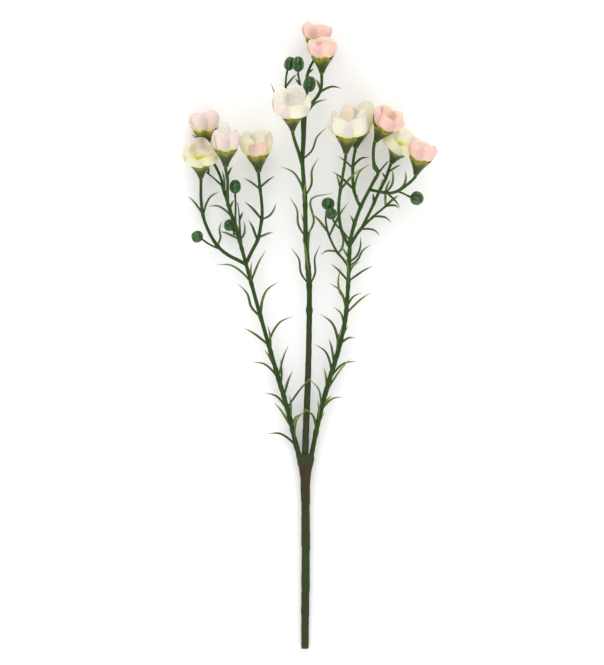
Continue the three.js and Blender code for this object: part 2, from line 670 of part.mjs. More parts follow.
// The point of a stem that lies nearest to x, y in plan.
function nearestOn(points, x, y) {
  const distance = (point) => Math.hypot(point.x - x, point.y - y);
  return points.reduce((best, point) => (distance(point) < distance(best) ? point : best));
}

// One slender three-sided blade from its root inside the stem to its tip.
function leafBlade(root, tip, bend, roll, widthShare) {
  const chord = tip.clone().sub(root);
  const upper = new THREE.Vector3(-chord.y, chord.x, 0).normalize();
  if (upper.y < 0) upper.negate();
  const length = chord.length();
  const [first, second] = BENDS[bend];
  const third = root.clone().addScaledVector(chord, 1 / 3).addScaledVector(upper, first * length);
  const twoThirds = root.clone().addScaledVector(chord, 2 / 3).addScaledVector(upper, second * length);
  const path = new THREE.CatmullRomCurve3([root, third, twoThirds, tip], false, 'centripetal');
  const steps = bend === 'plain' || bend === 'arch' ? LEAF_STEPS - 1 : LEAF_STEPS;
  const rings = [];
  for (let i = 0; i <= steps; i += 1) {
    const share = i / steps;
    const swell = mix(LEAF_ROOT_SHARE, 1, Math.sin(Math.PI * share));
    const wide = (LEAF_WIDTH / 2) * widthShare * swell * (1 - LEAF_TAPER * share ** 4);
    const high = (LEAF_THICKNESS / 2) * (1 - 0.5 * share ** 3);
    rings.push({ centre: path.getPointAt(share), wide, high, roll });
  }
  return tube(rings, 3);
}

// The leaves that stand out to the front and back of a stem, at an even gap along it.
function ruffLeaves({ from, to, gap }, middle, draw) {
  const leaves = [];
  let front = true;
  for (let y = from; y <= to; y += gap) {
    const root = middle.find((point) => point.y >= y);
    const length = mix(...RUFF.length, draw());
    const rise = front ? mix(...RUFF.rise, draw()) : -mix(...RUFF.sink, draw());
    const aside = mix(-RUFF.aside, RUFF.aside, draw());
    const tip = new THREE.Vector3(root.x + aside, root.y + length, Math.max(root.z + rise, LEAF_FLOOR));
    leaves.push(leafBlade(root, tip, 'plain', 0, RUFF.widthShare));
    front = !front;
  }
  return leaves;
}

function makeBranch(shoots, seed) {
  const draw = seededDraw(seed);
  const solids = [];
  for (const shoot of shoots) {
    const rings = shootRings(shoot);
    const middle = spine(rings);
    solids.push(toSolid(tube(rings, STEM_SIDES)));
    for (const [rootX, rootY, tipX, tipY, bend, rise] of shoot.leaves ?? []) {
      const root = nearestOn(middle, rootX, rootY);
      const drawn = mix(-LEAF_DEPTH, LEAF_DEPTH, draw());
      const roll = mix(-LEAF_ROLL, LEAF_ROLL, draw());
      const widthShare = mix(0.9, 1.1, draw());
      const tipZ = Math.max(root.z + (rise ?? drawn), LEAF_FLOOR);
      solids.push(toSolid(leafBlade(root, new THREE.Vector3(tipX, tipY, tipZ), bend, roll, widthShare)));
    }
    if (shoot.ruff) solids.push(...ruffLeaves(shoot.ruff, middle, draw).map(toSolid));
  }
  return join(solids);
}

// The leafy centre branch starts in a knot with a hole for the end of the bare centre stem.
function makeCentreBranch() {
  const knot = toSolid(tube(ringsFrom([
    [3, WIRE_END + CLEARANCE, 12.2, 2.3, 2.3], [3, WIRE_END + 2, 12.3, 2.6, 2.6],
    [3, WIRE_END + 5, 12.4, 1.9, 1.9],
  ]), 8));
  const holeRadius = WIRE_PEG_RADIUS + CLEARANCE;
  const hole = toSolid(tube(ringsFrom([
    [3, WIRE_END - 2, 12.1, holeRadius, holeRadius],
    [3, WIRE_END + 3 + CLEARANCE, 12.35, holeRadius, holeRadius],
  ]), STEM_SIDES));
  return makeBranch(CENTRE_SHOOTS, SEEDS.centre).add(knot).subtract(hole);
}

// ---------------------------------------------------------------- blooms

// A long sepal that curls out from the calyx, through its root, its bend and its tip.
function makeSepal(points) {
  const path = new THREE.CatmullRomCurve3(points.map(vector), false, 'centripetal');
  const rings = [0, 0.5, 1].map((share) => {
    const radius = SEPAL_RADIUS * (1 - SEPAL_TAPER * share);
    return { centre: path.getPointAt(share), wide: radius, high: radius };
  });
  return toSolid(tube(rings, SEPAL_SIDES));
}

// The trumpet-shaped calyx: a foot with a hole for the twig, and a rim drawn out into lobes, in some
// blooms into long sepals as well.
function makeCalyx({ turn, sepalTurn = 0, sepals = [] }) {
  const profile = [
    [0, SOCKET_DEPTH], [SOCKET_RADIUS, 0], [1.7, 0], [3, 3.6], [5.4, 8],
    [CALYX_RIM_RADIUS, CALYX_LENGTH], [CALYX_RIM_RADIUS - 0.7, CALYX_LENGTH], [2.4, THROAT_HEIGHT],
    [0, THROAT_HEIGHT],
  ];
  const cup = turned(profile, 2 * CALYX_LOBES, (point, angle) => {
    const high = Math.max(0, (point.z - CALYX_LOBE_START) / (CALYX_LENGTH - CALYX_LOBE_START));
    const lobe = Math.cos(CALYX_LOBES * angle) * high;
    const radius = Math.max(Math.hypot(point.x, point.y), 1);
    const flare = 1 + (CALYX_LOBE_FLARE * (high + lobe)) / (2 * radius);
    point.set(point.x * flare, point.y * flare, point.z + CALYX_LOBE_HEIGHT * lobe);
  });
  return join([cup.rotate([0, 0, turn + PETAL_PITCH * sepalTurn]), ...sepals.map(makeSepal)]);
}

// The middle line of a petal, from the disc in the throat past the calyx's rim and round the belly of
// the cup to the petal's tip.
function petalProfile({ reach, tall, lip, heights, belly = PETAL_BELLY }, number) {
  const top = tall * (heights?.[number] ?? 1);
  const free = top - PETAL_RIM_HEIGHT;
  return new THREE.SplineCurve([
    new THREE.Vector2(1, 7), new THREE.Vector2(PETAL_RIM_RADIUS, PETAL_RIM_HEIGHT),
    new THREE.Vector2(0.88 * reach, PETAL_RIM_HEIGHT + PETAL_SHOULDER * belly * free),
    new THREE.Vector2(reach, PETAL_RIM_HEIGHT + belly * free), new THREE.Vector2(lip * reach, top),
  ]);
}

// One spoon-shaped petal. start is 0 at the disc.
function petalSlab(bloom, number, start) {
  const profile = petalProfile(bloom, number);
  const angle = petalAngle(bloom, number);
  const twist = PETAL_TWIST * (bloom.twist ?? 1);
  const width = bloom.odd?.petal === number ? bloom.odd.width ?? 1 : 1;
  const surface = (across, along) => {
    const far = Math.max(0, mix(start, 1, along) * (1 - PETAL_TIP_ROUNDING * along ** 2 * across ** 2));
    const middle = profile.getPoint(Math.min(far, 1));
    const heading = profile.getTangent(Math.min(far, 1));
    const opened = THREE.MathUtils.smoothstep(far, ...PETAL_PARTS);
    const widened = THREE.MathUtils.smoothstep(far, ...PETAL_WIDENS);
    const rounded = THREE.MathUtils.smoothstep(far, ...PETAL_NARROWS);
    const narrowed = 1 - PETAL_TIP_NARROWING * rounded;
    const turn = angle + mix(PETAL_CLAW_ANGLE, PETAL_BLADE_ANGLE, widened) * narrowed * width * across;
    const out = opened * (twist * across - PETAL_CUPPING * across ** 2);
    const radius = middle.x + out * heading.y;
    const height = middle.y - out * heading.x;
    return new THREE.Vector3(radius * Math.cos(turn), radius * Math.sin(turn), height);
  };
  return slab(surface, PETAL_THICKNESS, ...PETAL_STEPS);
}

function petalAngle(bloom, number) {
  return THREE.MathUtils.degToRad(bloom.turn + PETAL_PITCH * number);
}

function makePetals(bloom) {
  const disc = turned([
    [0, THROAT_HEIGHT + CLEARANCE], [PETAL_DISC_RADIUS, THROAT_HEIGHT + CLEARANCE],
    [PETAL_DISC_RADIUS, PETAL_DISC_TOP], [0, PETAL_DISC_TOP],
  ], PETALS_IN_BLOOM);
  const solids = [disc];
  for (let number = 0; number < PETALS_IN_BLOOM; number += 1) {
    if (bloom.odd?.petal === number) continue;
    solids.push(toSolid(petalSlab(bloom, number, 0)));
  }
  return join(solids);
}

function makeOddPetal(bloom) {
  return toSolid(petalSlab(bloom, bloom.odd.petal, ODD_PETAL_START));
}

// The stamens: a small crown of teeth round the style.
function makeStamens() {
  const foot = PETAL_DISC_TOP + CLEARANCE;
  const profile = [
    [0, foot], [0.8, foot], [2.3, STAMEN_TOP - 1], [1.5, STAMEN_TOP - 1.6],
    [0.7, 10.4], [0, 11.6],
  ];
  return turned(profile, 2 * STAMEN_TEETH, (point, angle) => {
    const high = Math.max(0, (point.z - STAMEN_WAIST) / (STAMEN_TOP - 1 - STAMEN_WAIST));
    const rim = Math.hypot(point.x, point.y) > 1.4 ? high : 0;
    point.z += STAMEN_TOOTH * Math.cos(STAMEN_TEETH * angle) * rim;
  });
}

// Everything of a solid that lies above the surface, for a piece that is placed by a matrix.
function trimmedFlat(solid, matrix) {
  const place = new THREE.Vector3().setFromMatrixPosition(matrix);
  const ground = new THREE.BoxGeometry(TRIM_SIZE, TRIM_SIZE, TRIM_SIZE);
  ground.translate(place.x, place.y, -TRIM_SIZE / 2).applyMatrix4(matrix.clone().invert());
  return solid.subtract(toSolid(ground));
}

function makeBloom(name, bloom) {
  const group = new THREE.Group();
  group.position.copy(vector(bloom.base));
  group.quaternion.copy(facing(bloom.axis));
  group.updateMatrix();
  const petals = trimmedFlat(makePetals(bloom), group.matrix);
  group.add(namedMesh(`${name}_calyx`, makeCalyx(bloom), material('calyx')));
  group.add(namedMesh(`${name}_petals`, petals, material(bloom.petals)));
  if (bloom.odd) {
    group.add(namedMesh(`${name}_odd_petal`, makeOddPetal(bloom), material(bloom.odd.colour)));
  }
  group.add(namedMesh(`${name}_stamens`, makeStamens(), material('stamen')));
  return group;
}

// ---------------------------------------------------------------- buds

// A nearly round bud with faint ribs, a hole for its stalk and a dimple at the tip.
function makeBud(name, { foot, axis, size }) {
  const [radius, length] = size;
  const profile = [
    [0, SOCKET_DEPTH], [SOCKET_RADIUS, 0], [0.82 * radius, 0.16 * length],
    [radius, 0.48 * length], [0.84 * radius, 0.78 * length],
    [0.4 * radius, 0.98 * length], [0, 0.93 * length],
  ];
  const solid = turned(profile, 2 * BUD_RIBS, (point, angle) => {
    const swell = 1 + BUD_RIB * Math.cos(BUD_RIBS * angle);
    if (Math.hypot(point.x, point.y) > 0.6 * radius) point.set(point.x * swell, point.y * swell, point.z);
  });
  const mesh = namedMesh(name, solid, material('bud'));
  mesh.position.copy(vector(foot));
  mesh.quaternion.copy(facing(axis));
  return mesh;
}

// ---------------------------------------------------------------- the spray

function namedMesh(name, solid, finish) {
  const mesh = new THREE.Mesh(toGeometry(solid), finish);
  mesh.name = name;
  return mesh;
}

function makeSpray() {
  const spray = new THREE.Group();
  spray.add(namedMesh('stalk', makeStalk([LEFT_SHOOTS[0], RIGHT_SHOOTS[0]]), material('tape')));
  spray.add(namedMesh('branch_left', makeBranch(LEFT_SHOOTS, SEEDS.left), material('stem')));
  spray.add(namedMesh('branch_centre', makeCentreBranch(), material('stem')));
  spray.add(namedMesh('branch_right', makeBranch(RIGHT_SHOOTS, SEEDS.right), material('leaf')));
  for (const [name, bloom] of Object.entries(BLOOMS)) spray.add(makeBloom(name, bloom));
  for (const [name, bud] of Object.entries(BUDS)) spray.add(makeBud(name, bud));
  return spray;
}

// Sets the origin under the middle of the spray.
function centred(spray) {
  spray.updateMatrixWorld(true);
  const middle = new THREE.Box3().setFromObject(spray, true).getCenter(new THREE.Vector3());
  spray.position.set(-middle.x, -middle.y, 0);
  spray.updateMatrixWorld(true);
  return spray;
}

export default centred(makeSpray());
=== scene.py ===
"""The look of a waxflower stem: an artificial spray with a tape-wrapped stalk, three leafy branches,
twelve blooms and nine ball buds, lying on a pale surface and seen from above. Each piece is built
finer than the model's, from the same named sizes, and stays where the model's is. Sizes here are in
millimetres of the spray's own frame, with x, y = 0 at the cut end of the stalk."""
from bisect import bisect_right
from collections import namedtuple
from functools import cache
from math import atan2, cos, exp, hypot, inf, pi, radians, sin

import bmesh
import bpy
from mathutils import Matrix, Vector


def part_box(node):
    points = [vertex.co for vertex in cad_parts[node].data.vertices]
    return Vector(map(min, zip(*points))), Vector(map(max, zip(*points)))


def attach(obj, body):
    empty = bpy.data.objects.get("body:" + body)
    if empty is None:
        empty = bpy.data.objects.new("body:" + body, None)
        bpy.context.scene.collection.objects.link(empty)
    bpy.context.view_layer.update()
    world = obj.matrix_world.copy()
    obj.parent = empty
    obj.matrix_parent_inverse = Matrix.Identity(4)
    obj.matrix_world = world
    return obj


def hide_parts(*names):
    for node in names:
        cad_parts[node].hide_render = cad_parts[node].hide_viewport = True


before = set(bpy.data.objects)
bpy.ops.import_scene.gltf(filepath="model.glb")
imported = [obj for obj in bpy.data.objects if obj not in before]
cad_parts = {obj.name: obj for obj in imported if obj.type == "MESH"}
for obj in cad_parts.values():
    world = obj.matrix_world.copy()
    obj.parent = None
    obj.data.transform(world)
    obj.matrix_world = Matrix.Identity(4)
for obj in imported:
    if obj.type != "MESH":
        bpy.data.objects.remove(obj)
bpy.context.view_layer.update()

MM = 0.001
UP = Vector((0, 0, 1))

# ---- sizes shared with the model

CLEARANCE = 0.3
BINDING_TOP = 137
WIRE_END = 236
PEG_RADIUS = 0.75
PEG_POINT_RADIUS = 0.2
PEG_LENGTH = 1.3
SOCKET_DEPTH = 2.4
SOCKET_RADIUS = PEG_RADIUS + CLEARANCE

CALYX_LENGTH = 12.2
CALYX_RIM_RADIUS = 7.5
CALYX_LOBES = 5
CALYX_LOBE_START = 7
CALYX_LOBE_HEIGHT = 1.2
CALYX_LOBE_FLARE = 0.9
THROAT_HEIGHT = 6.3

PETALS_IN_BLOOM = 5
PETAL_RIM_RADIUS = 5.9
PETAL_RIM_HEIGHT = 12.8
PETAL_CLAW_ANGLE = 0.52
PETAL_BLADE_ANGLE = 0.9
PETAL_TWIST = 1.25
PETAL_CUPPING = 0.5
PETAL_TIP_ROUNDING = 0.18
PETAL_TIP_NARROWING = 0.16
PETAL_BELLY = 0.62
PETAL_SHOULDER = 0.42
SHOULDER_REACH = 0.88
PETAL_FOOT = (1, 7)
PETAL_PARTS = (0.16, 0.42)
PETAL_WIDENS = (0.2, 0.5)
PETAL_NARROWS = (0.65, 1.05)
SEPAL_RADIUS = 0.55
SEPAL_TAPER = 0.6
PETAL_DISC_RADIUS = 1.8
PETAL_DISC_TOP = 7.5
ODD_PETAL_START = 0.12
STAMEN_TOP = 13

LEAF_WIDTH = 1.9
LEAF_THICKNESS = 1.0
LEAF_ROOT_SHARE = 0.75
LEAF_DEPTH = 4
LEAF_ROLL = 0.5
LEAF_FLOOR = 1.2
RUFF = {"length": (15, 20), "rise": (7, 10), "sink": (4, 7), "aside": 4, "width_share": 0.9}
STEM_STEP = 12
SEEDS = {"left": 11, "centre": 23, "right": 37}
BENDS = {
    "arch": (0.13, 0.16),
    "plain": (0.03, 0.04),
    "wave": (-0.05, 0.05),
    "sickle": (-0.15, -0.13),
    "hook": (0.03, 0.30),
}

# Middle x, y, z and then half the width and height of the section.
STALK_RINGS = [
    (0, 0, 2.6, 2.55, 2.6), (0, 6, 2.8, 2.65, 2.65), (0.1, 23, 3.1, 2.7, 2.7), (0.1, 24.4, 3.1, 2.95, 2.95),
    (0.3, 40, 3.4, 2.75, 2.75), (0.4, 41.6, 3.4, 3.05, 3.05), (0.5, 70, 4, 2.8, 2.8),
    (0.5, 71.8, 4, 3.15, 3.15), (0.4, 102, 4.6, 2.9, 2.9), (0.3, 104, 4.7, 3.25, 3.25),
    (0.2, 118, 5, 3.4, 3.3), (0.1, 125, 5.2, 4.2, 3.7), (0.1, 131, 5.5, 5.6, 4.0),
    (0.1, 135.2, 5.8, 6.5, 4.1), (0.1, BINDING_TOP, 6, 6.1, 3.8),
]
WIRE_RINGS = [
    (0.1, BINDING_TOP - 8, 5.6, 2.3, 2.3), (0.2, BINDING_TOP + 3, 6.4, 2.35, 2.35), (1, 162.5, 8, 2.3, 2.3),
    (2, 187, 9.5, 2.2, 2.2), (2.6, 208, 10.8, 2.05, 2.05), (3, WIRE_END - 4, 12, 1.95, 1.95),
    (3, WIRE_END, 12.2, 2, 2),
]
KNOT_RINGS = [
    (3, WIRE_END - 0.5, 12.2, 2.2, 2.2), (3, WIRE_END + 2, 12.3, 2.6, 2.6),
    (3, WIRE_END + 5, 12.4, 1.9, 1.9),
]

# thick: the stem's radius at its foot and at its tip. tip: what it carries. path: its middle. leaves: the
# root and the tip of each in plan, its bend if that isn't plain, and the rise of its tip where that is
# set. ruff: where its leaves to the front and back start and end along y, and the gap between them.
Shoot = namedtuple("Shoot", "thick tip path leaves ruff", defaults=((), None))

LEFT_SHOOTS = [
    Shoot((1.7, 1.1), None, [
        [-3.4, 129, 5.5], [-4.5, 136.5, 6.1], [-6.5, 144, 6.6], [-11.5, 165.5, 8], [-18.5, 189.5, 9.5],
        [-26, 215.5, 11], [-33, 240, 12.5], [-40, 265.5, 14], [-46, 287, 15], [-53, 309.5, 15.5],
        [-58.5, 327, 14]
    ], [
        [-6.5, 142, -26.5, 151, "arch"], [-5, 145, 1.5, 168.5, "arch", 10], [-8, 153.5, -22, 173.5],
        [-7, 154, -2.5, 165.5, "arch", 5], [-11, 165, -28.5, 180, "arch"],
        [-10.5, 169.5, 4.5, 190.5, "plain", 7], [-13, 178, -8.5, 195.5], [-19.5, 189, -37, 201.5, "arch"],
        [-17, 190, -11.5, 213.5], [-21.5, 195.5, -28.5, 210], [-26, 213.5, -43, 225.5],
        [-23.5, 215, -8, 233.5, "arch"], [-32, 232.5, -47, 256.5, "wave"], [-28.5, 235, -18.5, 258, "arch"],
        [-39.5, 257.5, -62.5, 269.5, "arch"], [-36, 258.5, -27.5, 279.5], [-48.5, 287.5, -60, 293],
        [-44, 287, -43, 300.5, "sickle"], [-53.5, 302.5, -68, 310.5, "arch"],
        [-56, 320, -58, 336, "plain", 6], [-51.5, 309, -49.5, 315]
    ], ruff=(160, 282, 24)),
    Shoot((1.3, 1.0), "bloom_left_2", [
        [-41.5, 270, 14], [-47, 273, 13.5], [-53, 276, 12.5], [-59.5, 281, 11], [-64.5, 287.5, 9.5],
        [-69, 296.5, 8], [-71.5, 304, 7], [-73, 316, 6.2]
    ], [
        [-72, 304.5, -82, 318, "plain", 3], [-70.5, 304.5, -59.5, 321.5, "arch", -1],
        [-61, 283.5, -58, 300.5, "wave", 3]
    ]),
    Shoot((0.7, 0.65), "bud_left_1", [[-58, 280, 11], [-67, 284, 14]]),
    Shoot((1.3, 1.0), "bloom_left_4", [
        [-41, 271, 14.2], [-37.5, 278.5, 14.5], [-33, 287.5, 14.5], [-31, 297, 14], [-30, 305, 13.5],
        [-30.5, 315, 13], [-31.5, 323, 12.5]
    ], [
        [-33.5, 287.5, -39.5, 301], [-32, 287.5, -22, 292.5], [-31.5, 301.5, -42.5, 314],
        [-29.5, 301, -20, 313.5, "sickle"], [-32, 323, -43, 330.5], [-30, 323.5, -21, 332]
    ]),
    Shoot((1.2, 1.0), "bloom_left_3", [[-54, 311, 15.3], [-54.2, 320, 19], [-54, 328, 24]], [
        [-53.5, 331, -50.5, 338, "plain", 1]
    ]),
    Shoot((1.0, 0.9), "bloom_left_1", [
        [-57, 323, 14.4], [-59.5, 332, 9], [-64, 341, 5.6], [-68.4, 347.5, 6]
    ]),
    Shoot((0.8, 0.4), None, [[-57, 324, 14], [-64, 330.5, 9.5], [-69.5, 335, 6]], [
        [-67.5, 334, -68.5, 340, "plain", -1]
    ]),
    Shoot((0.75, 0.65), "bud_left_2", [[-46.5, 290.5, 15.2], [-48.5, 299.5, 17.5], [-48.5, 311.5, 18.5]]),
    Shoot((0.7, 0.65), "bud_left_3", [[-47.5, 291, 14.5], [-50, 291.5, 11.5]]),
    Shoot((0.9, 0.3), None, [[-45, 284, 15], [-45.5, 294, 17.5], [-46, 304, 20], [-47, 313, 22]], [
        [-45.5, 300, -43, 306.5]
    ]),
]

CENTRE_SHOOTS = [
    Shoot((1.9, 1.4), None, [
        [3, 236.8, 12.2], [3, 254, 13], [0.5, 290.5, 14.5], [0, 315, 15.5], [-1, 329.5, 16.5], [-2, 343, 17]
    ], [
        [1.5, 256, -10, 282, "wave"], [4, 254, 11, 284, "wave"], [3, 268, -2, 288, "plain", 5],
        [3.5, 269, 4.5, 297, "plain", 3], [0.5, 289, -11, 317.5, "wave"], [2, 289, 20, 320, "hook"],
        [-2.5, 317, -17, 338.5, "arch"], [2, 317, 9.5, 344.5, "wave"], [0.5, 343, 15.5, 366, "wave"]
    ], ruff=(262, 330, 24)),
    Shoot((1.4, 1.0), "bloom_centre_3", [[-2, 340, 17], [-4.5, 348.5, 20.5], [-7, 355.5, 24.5]]),
    Shoot((1.3, 1.0), "bloom_centre_2", [
        [-2, 341, 17], [-1.5, 359, 19], [-1.5, 371, 21.5], [1, 378.5, 24], [5.5, 383, 26.5],
        [9.5, 388, 29.5], [11.5, 394, 32.5]
    ], [
        [-1.5, 371, 15.5, 385, "arch", 1], [10, 387.5, 25.6, 392.2, "arch"], [11, 391.5, 7.5, 398.5]
    ]),
    Shoot((1.2, 0.9), "bloom_centre_1", [
        [-1.5, 343, 17], [-0.5, 358.5, 14], [0, 372.5, 11.5], [0.3, 395, 9], [2.9, 407, 8]
    ], [
        [0, 372.5, -24, 397, "sickle", 4], [2.2, 404, 6.2, 407.5]
    ]),
    Shoot((0.8, 0.65), "bud_centre_1", [
        [-0.2, 369, 12], [-6.5, 381, 12.5], [-12, 388, 13], [-13.5, 394, 13]
    ], [
        [-13, 395, -5.5, 403.5, "plain", -2]
    ]),
    Shoot((0.8, 0.65), "bud_centre_2", [[-0.3, 380, 10.5], [-2.5, 389, 15], [-3.5, 396, 18]], [
        [-3.5, 395.5, -7, 400]
    ]),
    Shoot((0.8, 0.65), "bud_centre_3", [[-1.3, 369, 21], [0.5, 379, 20]]),
]

RIGHT_SHOOTS = [
    Shoot((1.7, 1.1), "bloom_right_3", [
        [3.4, 129, 5.5], [4.7, 136.5, 6.1], [7.5, 151, 6.8], [10.5, 165.5, 7.5], [16.5, 187, 9],
        [23, 208.5, 10.5], [28, 230, 11.5], [30, 251.5, 12.5], [31.5, 283, 13.5], [33, 292.5, 14],
        [38.5, 309, 15], [47, 326, 17], [51, 334, 18.5], [48, 341, 22]
    ], [
        [7.5, 151, -0.5, 169, "arch", 7], [9, 152, 14, 166.5], [9, 165.5, 2.5, 190, "arch", 7],
        [12, 165.5, 27, 177, "arch"], [11.5, 168.5, 19, 178.5], [15, 179, 32, 204],
        [18.5, 188.5, 36.5, 202, "arch"], [15.5, 194.5, 7, 214, "arch"], [19, 199.5, 16.5, 218.5],
        [22, 210, 10.5, 235.5, "arch"], [25.5, 213.5, 35.5, 218.5, "arch"], [25, 217, 30.5, 227],
        [25.5, 226, 20, 240, "arch"], [28.5, 235, 46.5, 250.5], [29, 237.5, 40, 250, "arch"],
        [28, 236.5, 17, 257, "arch"], [28.5, 244, 25, 267.5, "sickle"], [31, 257.5, 48, 269],
        [31, 258.5, 38.5, 272, "arch"], [29.5, 257.5, 18, 270.5], [32, 268.5, 46.5, 284, "wave"],
        [32, 271.5, 39, 290, "sickle"], [31, 273, 24.5, 283], [32, 286.5, 25, 313, "sickle", 3],
        [35.5, 298, 31.5, 304.5], [39, 310, 37, 319, "sickle", 3], [50.5, 334.5, 48, 343.5, "sickle", 0]
    ], ruff=(158, 285, 24)),
    Shoot((1.2, 1.0), "bloom_right_1", [
        [31.5, 281.5, 13.4], [26.5, 291, 16], [24.5, 298, 19], [23.5, 310, 23], [25, 324, 27], [27, 336, 30]
    ], [
        [24.5, 321.5, 21.5, 333], [25, 321.5, 39, 336.5, "plain", -2]
    ]),
    Shoot((0.9, 0.65), "bud_right_1", [
        [31, 267.5, 13], [26.5, 274, 14], [22.5, 278.5, 15], [16.5, 291, 16], [14.5, 301, 17]
    ], [
        [22.5, 278.5, 11, 276.5, "arch"], [23, 277.5, 25.5, 292, "sickle", -2],
        [16.5, 291, 4, 306, "plain", 4], [17.5, 290, 30.5, 313.5, "plain", -5]
    ]),
    Shoot((0.7, 0.65), "bud_right_2", [[25.5, 294, 18], [22.5, 296.5, 21.5]]),
    Shoot((1.1, 1.0), "bloom_right_2", [
        [39, 310, 15], [36.5, 315, 13.5], [34, 323.5, 11.5], [33.5, 337, 10.5], [34.2, 345, 10.3]
    ], [
        [34, 322.5, 19, 335], [34.5, 322.5, 45.5, 340, "arch", 2], [33, 337.5, 23, 346],
        [33, 338, 45, 345, "arch", 0]
    ]),
    Shoot((1.0, 0.4), None, [[48.5, 329.5, 17.6], [53, 336, 15.5], [58, 342, 12.5]]),
    Shoot((1.2, 0.7), None, [[32, 284, 13.6], [38.5, 294, 14], [48.5, 304, 13], [57.5, 311.5, 12]], [
        [39.5, 294.5, 52.5, 290, "arch"], [47.5, 303, 60.5, 299, "arch"],
        [56.5, 311, 55.5, 318, "plain", 0], [57, 311, 66, 318.5, "plain", 0],
        [57, 311, 66.5, 309, "arch", 0]
    ]),
    Shoot((1.1, 1.0), "bloom_right_4", [
        [39.5, 295, 14], [46.5, 309, 12.5], [52, 321, 10.5], [57, 331, 8]
    ], [
        [56.5, 330, 54, 334.5, "plain", -1], [59, 334, 67.5, 340, "plain", 0],
        [48.5, 313, 47.5, 320, "plain", 0], [53, 323.5, 55.5, 330.5, "plain", 2]
    ]),
    Shoot((1.1, 1.0), "bloom_right_5", [
        [46, 322, 16.5], [55, 320, 22], [59.5, 319.5, 25], [65, 321, 28], [71, 325, 31.5]
    ], [
        [55.5, 320, 60, 329.5], [57, 320, 60.5, 337, "sickle", 2], [56.5, 319.5, 66.5, 309.5],
        [55.5, 320, 56, 311.5], [65.5, 321.5, 70, 335, "sickle", -4]
    ]),
    Shoot((0.7, 0.65), "bud_right_3", [[64.5, 320.5, 27.5], [69, 319, 25]]),
]

# base, axis: where the twig enters and where the bloom faces. reach, tall: half its width, and its
# height. lip: how far the petals' tips are from the middle, against reach. turn: where its first petal
# points, in degrees. twist: which side of each petal laps over. heights: each petal's, against tall.
# belly: how far up the petals are widest. petals: their colour. odd: the petal of another colour.
# sepals: paths of the long ones. sepal_turn: the calyx's turn against the petals, in petals.
BLOOMS = {
    "bloom_left_1": dict(
        base=[-69.4, 351.6, 6.8], axis=[-0.08, 0.97, 0.16], reach=10.2, tall=26.5, lip=0.84, turn=90,
        heights=[0.93, 0.95, 1, 1.03, 0.97], sepal_turn=0.5, petals="pale_pink", sepals=[
            [[4.3, -3.4, 8.9], [6.9, -4, 12], [9.8, -3.6, 14.4]],
            [[-4, -3.4, 8], [-6.5, -4, 8.9], [-8.8, -3.6, 10.8]]]),
    "bloom_left_2": dict(
        base=[-73, 330.6, 10.5], axis=[-0.01, 0.86, 0.5], reach=12, tall=25, lip=0.9, turn=12,
        heights=[0.95, 1.06, 1.05, 0.86, 0.86], belly=0.45, petals="cream",
        odd=dict(petal=1, colour="pale_pink")),
    "bloom_left_3": dict(
        base=[-55.2, 337.6, 28], axis=[0.01, 0.95, 0.28], reach=9.3, tall=27.6, lip=0.84, turn=20,
        heights=[0.95, 1.12, 0.93, 1, 0.98], petals="pale_pink",
        odd=dict(petal=1, colour="cream", width=0.5)),
    "bloom_left_4": dict(
        base=[-32.6, 334.6, 12], axis=[-0.06, 0.96, 0.26], reach=11.4, tall=29, lip=0.88, turn=-70,
        twist=-1, heights=[0.82, 1, 1, 1, 0.97], petals="cream",
        odd=dict(petal=0, colour="salmon", width=0.95)),
    "bloom_centre_1": dict(
        base=[6.5, 415.2, 11], axis=[0.12, 0.97, 0.2], reach=10.3, tall=24.4, lip=0.88, turn=-2,
        heights=[0.95, 0.93, 0.95, 1.04, 1], petals="salmon"),
    "bloom_centre_2": dict(
        base=[11.6, 402.4, 34], axis=[0.02, 0.94, 0.33], reach=10, tall=23, lip=0.9, turn=-2,
        heights=[0.98, 1.03, 0.98, 1.03, 1.02], petals="salmon"),
    "bloom_centre_3": dict(
        base=[-8.6, 362.8, 28.5], axis=[-0.03, 0.86, 0.5], reach=13, tall=29.5, lip=0.9, turn=-80,
        heights=[0.85, 0.93, 1.02, 1, 0.95], belly=0.5, petals="white",
        odd=dict(petal=4, colour="pale_pink")),
    "bloom_right_1": dict(
        base=[28.4, 346.6, 32], axis=[0.06, 0.95, 0.28], reach=13.7, tall=29.5, lip=0.88, turn=20,
        heights=[1.05, 1.12, 1, 0.93, 0.95], belly=0.5, petals="white",
        odd=dict(petal=1, colour="salmon", width=0.46)),
    "bloom_right_2": dict(
        base=[35.4, 351.4, 9.85], axis=[0.14, 0.98, 0.04], reach=10.6, tall=31, lip=0.8, turn=76,
        heights=[1, 0.95, 0.9, 1.1, 0.97], petals="cream"),
    "bloom_right_3": dict(
        base=[49.1, 355.4, 28], axis=[0.46, 0.8, 0.38], reach=10.7, tall=24.5, lip=0.88, turn=-100,
        heights=[0.95, 0.98, 1.03, 1, 1.06], petals="salmon", sepals=[
            [[-6.9, 1, 9.8], [-9, 1, 13], [-10.6, 0.5, 16.5]]]),
    "bloom_right_4": dict(
        base=[60.6, 341.2, 10], axis=[0.38, 0.77, 0.5], reach=13.8, tall=23.5, lip=0.92, turn=18, belly=0.5,
        petals="cream"),
    "bloom_right_5": dict(
        base=[76.8, 331.7, 37], axis=[0.24, 0.9, 0.34], reach=9.8, tall=23.6, lip=0.87, turn=10,
        heights=[0.97, 0.95, 0.95, 1.05, 1.07], petals="salmon"),
}

